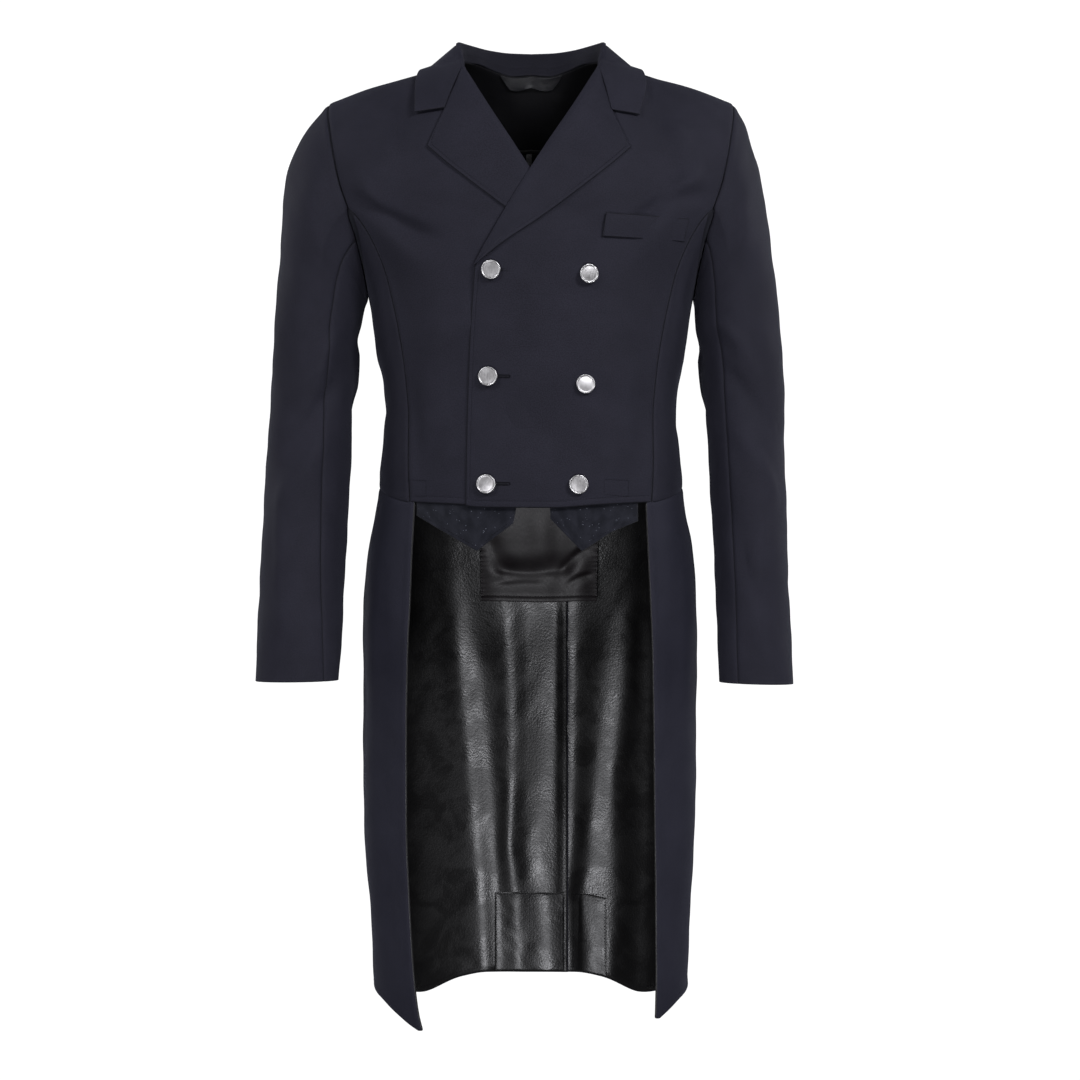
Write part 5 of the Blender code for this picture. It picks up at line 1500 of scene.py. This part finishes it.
flapPiece = {
    "sides": (-61.0, 80.0),
    # height, inward distance
    "fall": ((-402, 3.7), (-410, 4.1), (-418, 7.5), (-460, 9.5), (-490, 13), (-520, 16), (-552, 18)),
    "waves": 3, "waveDepth": 0.9, "hemLine": 6.5,
    # side distance, height to side distance, height, reach, inward height, bow
    "folds": (
        (-52, -512, 58, -506, 13, 3.0, 7), (-50, -532, 30, -528, 8, 1.2, -4),
        (74, -486, 30, -528, 9, 2.0, 5), (76, -520, 40, -536, 6, 1.2, 3),
        (-52, -470, -20, -534, 12, 1.4, 5),
    ),
    "flat": (0.152, 0.16), "restsOn": ["back_lining"],
}


def flapSag(x, z):
    # how much the flap's lower part hangs down at its middle
    return -1.6 * np.exp(-((x - 10) / 45) ** 2) * eased((-470 - z) / 80)


def gatherWave(z):
    # uneven gathers down the flap's overcast sides
    return np.sin(z * math.tau / 6.2 + np.sin(z * 0.21) * 1.5)


def flapDepth(x, z):
    first, last = flapPiece["sides"]
    fall = eased((-418 - z) / 60)
    wave = np.cos((x - first) / (last - first) * math.tau * flapPiece["waves"])
    wave = wave * flapPiece["waveDepth"] * fall * (0.55 + 0.45 * np.sin(x * 0.045 + z * 0.013))
    side = np.minimum(x - first, last - x)
    pucker = gatherWave(z) * (0.6 + 0.4 * np.sin(z * 0.13 + x * 0.05))
    gather = 0.36 * pucker * np.exp(-np.clip(side, 0, None) / 4.5) * fall
    crease = folds(x, z, flapPiece["folds"]) * fall
    hem = stitchedEdge(z - limits["flapLow"], flapPiece["hemLine"], 0.35)
    return -(curve(flapPiece["fall"], z) + wave + crease + gather) - 0.6 * eased((-408 - z) / 10) - hem


def makeFlap():
    rimMarks = (0, 0.6, 1.3, 2.2, 3.2, 4.4, 6)
    across = edgeMarks(141.0, 80, rimMarks, rimMarks)
    up = edgeMarks(150.0, 96, near=(0, 0.6, 1.4, 2.6, 4, 5.4, 6.4, 7.4, 9, 11))
    x, z = np.meshgrid(blend(*flapPiece["sides"], across), blend(limits["flapLow"], limits["flapHigh"], up))
    side = np.minimum(x - flapPiece["sides"][0], flapPiece["sides"][1] - x)
    pull = 0.45 * (1 + gatherWave(z)) * eased((-425 - z) / 30)
    shifted = x - np.sign(x - 9.5) * pull * np.exp(-side / 4)
    depth = flapDepth(x, z)
    arch = z + flapSag(x, z) - body["chest"]
    outer = torso(shifted, arch, 1, depth)
    inner = torso(shifted, arch, 1, depth - cloth["lining"])
    sewSheet("waist_flap", outer, inner, ("satin",), "satin", flapPiece, False, 0.4)


makeFlap()


# Inside the neck: yoke lining, striped back lining, the piping between them and a bare label

neckPiece = {
    "lift": 1.6 + 0.35 + 0.25, "labelLift": 1.6 + 2 * 0.35 + 2 * 0.25 + 1.0,
    "yokeRow": 0.443, "pipingHeight": 3.0, "labelHalf": 35.0,
    # creases below the label, in side distance and percent of the arch
    "yokeFolds": (
        (-34, 84, -46, 52, 6, 1.3, 4), (-14, 84, -22, 50, 5, 1.0, -3), (2, 80, 4, 48, 5, 0.8, 3),
        (22, 84, 34, 54, 6, 1.4, -4), (40, 78, 20, 62, 5, 0.9, 3), (-52, 74, -30, 58, 6, 0.9, 3),
    ),
    "yoke": {"flat": (0.42, 0.10), "area": 0.041, "restsOn": ["back_left", "back_right"]},
    "lining": {"flat": (0.4, 0.4), "area": 0.116, "restsOn": ["back_left", "back_right"]},
    "piping": {"flat": (0.38, 0.01), "area": 0.0018, "restsOn": ["yoke_lining"]},
    "label": {"flat": (0.072, 0.016), "restsOn": ["yoke_lining"]},
}


def armholeHalf(share):
    return float(armholeSide(np.array([share * body["archLength"]]))[0])


def backShare(share, across, offset):
    # a row of the inside back at a share of the arch, by side distance
    return torso(across, share * body["archLength"] * backRise(across), 1, offset)


def lowerBack(level, across, offset):
    turn = angleAt(np.abs(across), np.full_like(across, limits["sideBack"]), 1)
    waist = curve(seams["waist"], np.degrees(turn))
    return torso(across, blend(waist, body["chest"], level) - body["chest"], 1, offset)


def makeNeckLinings():
    depth = -neckPiece["lift"]
    share = np.linspace(-0.88, 0.88, 61)
    yokeRows = blend(neckPiece["yokeRow"], 0.995, np.linspace(0, 1, 26))
    rows = [[], []]
    for row in yokeRows:
        x = share * armholeHalf(row)
        height = np.full_like(x, row * 100)
        relief = folds(x, height, neckPiece["yokeFolds"]) + unevenness(x, height, 0.4, 60.0, 0.4)
        relief = np.clip(relief, 0, None) * eased((row - neckPiece["yokeRow"]) / 0.06)
        relief = relief * eased((1 - row) / 0.05)
        rows[0].append(backShare(row, x, depth))
        rows[1].append(backShare(row, x, depth - cloth["lining"] - relief))
    sewSheet("yoke_lining", *np.array(rows), ("lining",), "lining", neckPiece["yoke"], False, 0.3)
    rows = [[], []]
    for level in np.linspace(0.005, 1, 40):
        x = share * float(curve(seams["sideBack"], blend(limits["sideBack"], body["chest"], level)))
        for rowList, offset in zip(rows, (depth, depth - cloth["lining"])):
            rowList.append(lowerBack(level, x, offset))
    for row in np.linspace(0, neckPiece["yokeRow"], 12)[1:] - 0.002:
        x = share * armholeHalf(row)
        for rowList, offset in zip(rows, (depth, depth - cloth["lining"])):
            rowList.append(backShare(row, x, offset))
    sewSheet("back_lining", *np.array(rows), ("striped",), "lining", neckPiece["lining"], False, 0.3)
    x = share * armholeHalf(neckPiece["yokeRow"]) * 0.99
    arch = neckPiece["yokeRow"] * body["archLength"] * backRise(x)
    across = np.linspace(-1, 1, 9)
    deep = depth - cloth["lining"] - cloth["layerGap"]
    front = np.array([torso(x, arch + a * neckPiece["pipingHeight"] / 2, 1, deep) for a in across])
    bead = [0.3 + 1.1 * math.sqrt(max(0.0, 1 - a * a)) for a in across]
    back = np.array([torso(x, arch + a * neckPiece["pipingHeight"] / 2, 1, deep - lift)
                     for a, lift in zip(across, bead)])
    sewSheet("lining_piping", front, back, ("piping",), "piping", neckPiece["piping"], False, 0.3)


def makeLabel():
    across = edgeMarks(70.0, 24, near=(0, 0.6, 1.4, 2.4), far=(0, 0.6, 1.4, 2.4)) * 2 - 1
    deep = -neckPiece["labelLift"]
    rows = [[], []]
    for up in edgeMarks(14.0, 8, near=(0, 0.5, 1.1, 2.0), far=(0, 0.5, 1.1)):
        x = across * neckPiece["labelHalf"] * (1 - 0.3 * (1 - up) ** 1.5)
        arched = 0.014 * np.cos(across * math.pi * 1.3)
        share = blend(6 / 7 + 0.03 + arched * (1 - up), 0.99, up)
        curl = 2.6 * (1 - up) ** 2 * (0.6 + 0.4 * np.cos(across * math.pi * 1.3))
        for rowList, offset in zip(rows, (deep - curl, deep - 0.7 - curl)):
            rowList.append(backShare(share, x, offset))
    sewSheet("neck_label", *np.array(rows), ("label",), "label", neckPiece["label"], False, 0.3)


makeNeckLinings()
makeLabel()
print("coat: flap and neck linings made")


# Buttons: rimmed, plain, on shanks

buttonPiece = {
    # side distance, height, sideways tilt, upward tilt
    "button_inner_top": (-42.0, -193.0, 0, 0), "button_inner_middle": (-45.5, -307.0, 0, 4),
    "button_inner_bottom": (-47.5, -423.0, 0, 0), "button_outer_top": (61.0, -197.0, 10, 0),
    "button_outer_middle": (58.0, -315.5, 4, 8), "button_outer_bottom": (51.0, -423.5, 0, 0),
}
# radius and height of the turned profile, from the shank out over the rim to the dished face
buttonProfile = (
    (0, 0), (2.4, 0), (2.6, 0.4), (2.5, 2.0), (3.4, 2.35), (8.6, 2.5), (9.7, 2.7),
    (10.3, 3.1), (10.5, 3.6), (10.4, 4.1), (10.05, 4.6), (9.7, 4.8), (9.4, 4.75), (9.1, 4.45),
    (8.85, 4.2), (8.5, 4.12), (7.4, 4.2), (5.6, 4.36), (3.4, 4.48), (1.4, 4.54), (0, 4.55),
)


def makeButton(name, place):
    x, z, sideways, upward = place
    arch, lap = float(heightToArch(x, z)), float(frontLap(x, z))
    foot = torso(x, arch, -1, lap + 0.3)
    normal = unit(foot - torso(x, arch, -1, lap))
    right = unit(np.cross(np.array([0.0, 0.0, 1.0]), normal))
    axis = unit(normal + right * math.tan(math.radians(sideways))
                + np.array([0.0, 0.0, math.tan(math.radians(upward))]))
    right = unit(np.cross(np.array([0.0, 0.0, 1.0]), axis))
    rise = np.cross(axis, right)
    segments, rings = 56, buttonProfile[1:-1]
    turn = np.arange(segments) / segments * math.tau
    centre = foot + axis * 0.1
    points = [centre[None, :]]
    for radius, height in rings:
        points.append(centre + radius * (np.cos(turn)[:, None] * right + np.sin(turn)[:, None] * rise)
                      + axis * height)
    points.append((centre + axis * buttonProfile[-1][1])[None, :])
    faces = []
    last = 1 + len(rings) * segments
    for number in range(segments):
        following = (number + 1) % segments
        faces.append([0, 1 + following, 1 + number])
        faces.append([last - segments + number, last - segments + following, last])
        for ring in range(len(rings) - 1):
            low, high = 1 + ring * segments, 1 + (ring + 1) * segments
            faces.append([low + number, low + following, high + following, high + number])
    points = np.concatenate(points)
    piece = makePiece(name + "_rimmed", points, faces, np.zeros((len(points), 2)), [finishes["metal"]])
    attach(piece, "root")
    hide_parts(name)


for name, place in buttonPiece.items():
    makeButton(name, place)
print("coat: buttons made")


# Stitches: short spindles that lie along a line or across it, many to a mesh

stitchStyle = {
    "edge": {"pitch": 3.1, "length": 2.2, "wide": 0.36, "high": 0.26},
    "bold": {"pitch": 3.5, "length": 2.6, "wide": 0.38, "high": 0.28},
    "bar": {"pitch": 0.6, "half": 0.95, "wide": 0.26, "high": 0.24},
    "whip": {"pitch": 3.1, "half": 1.6, "wide": 0.3, "high": 0.3},
}


def alongLine(line, normals, style):
    # where each stitch of a row starts and ends, which way is up and how it is sewn
    run = runAlong(line)
    starts = np.arange(0.5, run[-1] - style.get("length", 0.0), style["pitch"])

    def place(values, at):
        return np.stack([np.interp(at, run, values[:, axis]) for axis in range(3)], axis=-1)

    if "half" in style:
        middle, up = place(line, starts), unit(place(normals, starts))
        ahead = place(line, starts + 0.3) - place(line, starts - 0.3)
        across = unit(np.cross(up, ahead)) * style["half"]
        return middle - across, middle + across, up, style
    return (place(line, starts), place(line, starts + style["length"]),
            unit(place(normals, starts + style["length"] / 2)), style)


def stitchMesh(name, rows, finish):
    points, faces = [], []
    for first, last, up, style in rows:
        across = unit(np.cross(up, last - first))
        middle = (first + last) / 2
        corners = np.stack([
            first, middle + across * style["wide"], middle + up * style["high"],
            middle - across * style["wide"], middle - up * style["high"] * 0.6, last], axis=1)
        for block in corners:
            base = len(points) * 6
            points.append(block)
            for low, high in ((1, 2), (2, 3), (3, 4), (4, 1)):
                faces += [[base, base + low, base + high], [base + 5, base + high, base + low]]
    points = np.concatenate(points)
    piece = makePiece(name, points, faces, np.zeros((len(points), 2)), [finish])
    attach(piece, "root")


def onFront(x, z, hand, lift):
    # points and normals on a front, for places given in its own unmirrored frame
    sign = mirrorOf(hand)
    lap = frontLap(x, z) if hand == "left" else np.zeros_like(z)
    low = torso(x, heightToArch(x, z), -1, lap + lift)
    high = torso(x, heightToArch(x, z), -1, lap + lift + 1.0)
    return low * sign, (high - low) * sign


def pathThrough(corners, step=1.2):
    corners = np.array(corners, dtype=float)
    run = runAlong(corners)
    at = np.arange(0, run[-1] + step, step)
    return np.stack([np.interp(at, run, corners[:, axis]) for axis in range(corners.shape[1])])


def insetLine(grid, rows, inset, side, outward, lift=0.0):
    # a line that runs a set distance in from one edge of a grid, with its normals
    run = stepsFrom(grid, side)
    across = unit(np.cross(np.gradient(grid, axis=1), np.gradient(grid, axis=0)))
    if side in ("top", "bottom"):
        run, grid, across = run.T, grid.transpose(1, 0, 2), across.transpose(1, 0, 2)
    line, normals = [], []
    for row in rows:
        order = slice(None) if run[row, 0] < run[row, -1] else slice(None, None, -1)
        for values, out in ((grid[row, order], line), (across[row, order], normals)):
            out.append([np.interp(inset, run[row, order], values[:, axis]) for axis in range(3)])
    line, normals = np.array(line), unit(np.array(normals))
    facing = np.sign(np.sum(normals * (line - np.array(outward)), axis=-1, keepdims=True))
    return line + normals * facing * lift, normals * facing


# Sewing that shows: where each row runs, in from which edge
sewing = {
    "edgeInset": 4.6, "hemInset": 7.0, "collarInset": 4.0, "standInset": 9.0, "pointInset": 3.0,
    "liningInset": 3.2, "liningHemInset": 5.0, "pocketInset": 1.9, "flapInset": 6.5, "tailHemInset": 8.0,
    # corners of the tacked tabs above each front's hem: side distance and height
    "tabs": {"right": ((114, -437), (139, -436), (139, -418), (114, -419)),
             "left": ((79, -434), (106, -437), (106, -419), (79, -418))},
    "bodyCentre": (0.0, 0.0, -300.0),
}


def mirrorOf(hand):
    return np.array([-1.0 if hand == "right" else 1.0, 1.0, 1.0])


def lapelStitches(hand):
    path = []
    for t in np.concatenate([np.linspace(0.35, 4.84, 90), [4.9], np.linspace(5.2, 6.9, 30)]):
        rollX, rollZ = lapelRoll(t)
        edgeX, edgeZ = lapelEdge(hand, t)
        width = math.hypot(edgeX - rollX, edgeZ - rollZ)
        share = 1 - min(lapelPiece["edgeLine"] / width, 0.5)
        path.append((blend(rollX, edgeX, share), blend(rollZ, edgeZ, share)))
    x, z = pathThrough(path)
    return onFront(x, z, hand, lapelPiece["outer"] - 0.12)


def makeStitches():
    edge, bold, whip = stitchStyle["edge"], stitchStyle["bold"], stitchStyle["whip"]
    centre, towardsFront = sewing["bodyCentre"], [0.0, -1.0, 0.0]
    rows = []
    for hand in ("left", "right"):
        rows.append(alongLine(*lapelStitches(hand), edge))
        x, z = pathThrough(list(sewing["tabs"][hand]) + [sewing["tabs"][hand][0]])
        rows.append(alongLine(*onFront(x, z, hand, 0.05), edge))
        grid = frontOuter[hand]
        mirror = mirrorOf(hand)
        columns = range(6, grid.shape[1] - 3)
        line, up = insetLine(grid, columns, sewing["hemInset"], "bottom", centre)
        rows.append(alongLine(line * mirror, up * mirror, edge))
        if hand == "left":
            low = [row for row in range(grid.shape[0]) if grid[row, 0, 2] < -196]
            rows.append(alongLine(*insetLine(grid, low[8:], sewing["edgeInset"], "start", centre), edge))
    fall, stand = collarWhole[2], collarWhole[0]
    count = fall.shape[0]
    line = insetLine(fall, range(5, count - 5), sewing["collarInset"], "end", (0, 0, -60))
    rows.append(alongLine(*line, edge))
    for side in ("bottom", "top"):
        columns = range(16, fall.shape[1] - 6)
        rows.append(alongLine(*insetLine(fall, columns, sewing["collarInset"], side, (0, 0, -120)), edge))
    line, up = insetLine(stand, range(8, count - 8), sewing["standInset"], "start", (0, 0, 0))
    rows.append(alongLine(line - up * 0.05, -up, edge))
    for across, ends in ((0.016, (0.02, 0.98)), (0.984, (0.98, 0.02))):
        x, z = pathThrough([weltPlace(across, up) for up in ends], 0.6)
        rows.append(alongLine(*onFront(x, z, "left", weltPiece["lift"] + weltPiece["cloth"] + 0.1), edge))
    stitchMesh("suiting_stitches", rows, finishes["thread"])

    rows = []
    for hand in ("left", "right"):
        mirror = mirrorOf(hand)
        grid = tailOuter[hand]
        columns = range(8, grid.shape[1] - 2)
        line, up = insetLine(grid, columns, sewing["tailHemInset"], "bottom", (0, 0, -700))
        rows.append(alongLine(line * mirror, up * mirror, edge))
        grid = liningInner[hand]
        for side, inset, count in (("end", sewing["liningInset"], grid.shape[0]),
                                   ("bottom", sewing["liningHemInset"], grid.shape[1])):
            line, up = insetLine(grid, range(2, count - 2), inset, side, (0, -900, -700))
            rows.append(alongLine(line * mirror, -up * mirror, bold))
        x, z, depth = pocketPlaces[hand]
        first, last = x[0, 0], x[0, -1]
        inset = sewing["pocketInset"] * np.sign(last - first)
        low, high = z.min() + 8, z.max() - sewing["pocketInset"]
        sides = [(first + inset, low), (first + inset, high), (last - inset, high), (last - inset, low)]
        if hand == "right":
            sides += [(last - inset, high), ((first + last) / 2, high), ((first + last) / 2, low)]
        px, pz = pathThrough(sides)
        turn = angleAt(px, pz, 1)
        under = pocketBed(hand, angleAt(px * mirror[0], pz, 1), pz) - liningRelief(px, pz) - 1.0
        line = around(turn, pz, under)
        rows.append(alongLine(line, around(turn, pz, under - 1.0) - line, bold))
    stitchMesh("leather_stitches", rows, finishes["thread"])

    rows = []
    x = np.arange(-58, 77, 1.2)
    z = np.full_like(x, limits["flapLow"] + sewing["flapInset"])
    sideHeights = np.linspace(-436, -548, 100)
    for xs, zs, style in ((x, z, edge), (np.full(100, -60.0), sideHeights, whip),
                          (np.full(100, 79.0), sideHeights, whip)):
        arch = zs + flapSag(xs, zs) - body["chest"]
        line = torso(xs, arch, 1, flapDepth(xs, zs) - cloth["lining"] - 0.1)
        rows.append(alongLine(line, np.tile(towardsFront, (len(xs), 1)), style))
    stitchMesh("satin_stitches", rows, finishes["thread"])

    rows = []
    for hand in ("right", "left"):
        outline = np.array(pointPiece[hand], dtype=float)
        middle = outline[:, 0].mean()
        x = outline[:, 0] + np.sign(middle - outline[:, 0]) * sewing["pointInset"] * 0.6
        px, pz = pathThrough(np.column_stack([x, outline[:, 1] + sewing["pointInset"]]))
        line = torso(px, pz - body["chest"], -1, -pointPiece["drop"] - 0.1)
        rows.append(alongLine(line, np.tile(towardsFront, (len(px), 1)), edge))
    stitchMesh("suede_stitches", rows, finishes["thread"])


# Buttonholes under the inner column: a dark slit between close overcast bars, with a keyhole end

buttonholePiece = {"from": -39.0, "to": -24.6, "slit": 0.7, "eye": 1.5, "eyeAhead": 0.9,
                   "beside": 1.3, "lift": 0.12, "steps": 40}


def makeButtonholes():
    bars, slits, faces = [], [], []
    first, last, steps = buttonholePiece["from"], buttonholePiece["to"], buttonholePiece["steps"]
    eye, lift = buttonholePiece["eye"], buttonholePiece["lift"]
    for name in ("button_inner_top", "button_inner_middle", "button_inner_bottom"):
        height = buttonPiece[name][1]
        x = np.linspace(first, last, steps)
        for side in (-1, 1):
            z = np.full_like(x, height + side * buttonholePiece["beside"])
            bars.append(alongLine(*onFront(x, z, "left", lift), stitchStyle["bar"]))
        turn = np.linspace(-2.4, 2.4, 24)
        eyeX = last + buttonholePiece["eyeAhead"] + np.cos(turn) * eye
        eyeZ = height + np.sin(turn) * eye
        bars.append(alongLine(*onFront(eyeX, eyeZ, "left", lift), stitchStyle["bar"]))
        # the slit itself, a flat closed lens that sits in the cloth
        half = buttonholePiece["slit"] * (0.5 + 0.5 * np.sin(np.linspace(0.2, math.pi - 0.3, steps)))
        half = half + eye * np.exp(-((x - last - 0.3) / 0.9) ** 2) * 0.6
        rings = []
        for out, share in ((0.16, 0.3), (0.12, 1.0), (-0.3, 1.0)):
            rings.append(onFront(x, height + half * share, "left", out)[0])
            rings.append(onFront(x, height - half * share, "left", out)[0])
        base = sum(len(block) for block in slits)
        slits.append(np.concatenate(rings))
        order = [0, 2, 4, 5, 3, 1]
        for number in range(steps - 1):
            for a, b in zip(order, order[1:] + order[:1]):
                one, two = base + a * steps + number, base + b * steps + number
                faces.append([one, one + 1, two + 1, two])
        for number in (0, steps - 1):
            faces.append([base + a * steps + number for a in order])
    stitchMesh("buttonhole_bars", bars, finishes["thread"])
    points = np.concatenate(slits)
    uvs = np.zeros((len(points), 2))
    piece = makePiece("buttonhole_slits", points, faces, uvs, [finishes["facing"]])
    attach(piece, "root")


makeStitches()
makeButtonholes()
print("coat: stitches and buttonholes made")


# Camera: the photo's viewing distance and angle

view = {"distance": 3.2, "x": 0.0101, "z": -0.4838, "width": 1.2096, "sensor": 36.0}


def makeCamera():
    data = bpy.data.cameras.new("camera")
    data.sensor_width = view["sensor"]
    data.lens = view["sensor"] * view["distance"] / view["width"]
    data.clip_end = 50.0
    camera = bpy.data.objects.new("camera", data)
    bpy.context.scene.collection.objects.link(camera)
    camera.location = (view["x"], -view["distance"], view["z"])
    camera.rotation_euler = (math.radians(90), 0, 0)
    bpy.context.scene.camera = camera


# Studio: a pale floor that curves up behind, and large soft lights

studio = {
    "floor": -1.6, "backdrop": 2.6, "front": -9.0, "half": 9.0, "bend": 1.2, "wallTop": 6.0,
    "pale": 0.12,
    "glow": 1.0, "ambient": 0.04, "cool": (0.95, 0.955, 1.0),
    # x, y, z, width, height, power, aimed at x, z
    "lights": {
        "topSoftboxLeft": (-1.7, -2.3, 1.2, 1.0, 0.7, 35.0, 0.0, -0.4),
        "topSoftboxRight": (1.7, -2.3, 1.3, 1.1, 0.7, 72.0, 0.0, -0.4),
        "lowSoftbox": (-0.1, -2.7, -1.36, 0.8, 0.5, 33.0, 0.0, -0.6),
        "sideStripLeft": (-2.6, -0.4, 0.2, 0.6, 2.4, 15.0, 0.0, -0.4),
        "sideStripRight": (2.6, -0.4, 0.2, 0.6, 2.4, 17.0, 0.0, -0.4),
        "backSoftboxLeft": (-2.4, 1.6, 0.6, 0.8, 1.8, 20.0, 0.0, -0.4),
        "backSoftboxRight": (2.4, 1.6, 0.6, 0.8, 1.8, 20.0, 0.0, -0.4),
    },
}


def makeFloor():
    bend, floor = studio["bend"], studio["floor"]
    wall, rows = studio["backdrop"], [(studio["front"], floor)]
    for turn in np.linspace(0, math.pi / 2, 13):
        rows.append((wall - bend + bend * math.sin(turn), floor + bend - bend * math.cos(turn)))
    rows.append((wall, studio["wallTop"]))
    points = [(side * studio["half"], y, z) for y, z in rows for side in (-1, 1)]
    faces = [[row * 2, row * 2 + 1, row * 2 + 3, row * 2 + 2] for row in range(len(rows) - 1)]
    mesh = bpy.data.meshes.new("paleFloor")
    mesh.from_pydata(points, [], faces)
    mesh.shade_smooth()
    material = bpy.data.materials.new("palePaper")
    material.use_nodes = True
    shader = material.node_tree.nodes["Principled BSDF"]
    for socket, value in (("Base Color", (studio["pale"],) * 3 + (1.0,)), ("Roughness", 0.95),
                          ("Specular IOR Level", 0.1), ("Emission Color", (1.0, 1.0, 1.0, 1.0))):
        shader.inputs[socket].default_value = value
    seen = material.node_tree.nodes.new("ShaderNodeLightPath").outputs["Is Camera Ray"]
    material.node_tree.links.new(maths(material.node_tree, "MULTIPLY", seen, studio["glow"]),
                                 shader.inputs["Emission Strength"])
    mesh.materials.append(material)
    backdrop = bpy.data.objects.new("paleFloor", mesh)
    bpy.context.scene.collection.objects.link(backdrop)


def makeStudio():
    for name, (x, y, z, width, height, power, aimX, aimZ) in studio["lights"].items():
        data = bpy.data.lights.new(name, "AREA")
        data.shape, data.size, data.size_y, data.energy = "RECTANGLE", width, height, power
        data.color = studio["cool"]
        light = bpy.data.objects.new(name, data)
        light.location = (x, y, z)
        light.visible_camera = False
        light.rotation_euler = Vector((aimX - x, -y, aimZ - z)).to_track_quat("-Z", "Y").to_euler()
        bpy.context.scene.collection.objects.link(light)
    world = bpy.data.worlds.new("studioWorld")
    world.use_nodes = True
    tree = world.node_tree
    seen = tree.nodes.new("ShaderNodeLightPath").outputs["Is Camera Ray"]
    sky = tree.nodes["Background"].inputs
    tree.links.new(ramp(tree, seen, 0.0, 1.0, studio["ambient"], 1.0), sky["Strength"])
    sky["Color"].default_value = (1.0, 1.0, 1.0, 1.0)
    bpy.context.scene.world = world
    bpy.context.scene.view_settings.view_transform = "Standard"


makeFloor()
makeCamera()
makeStudio()
print("coat: camera and studio set")
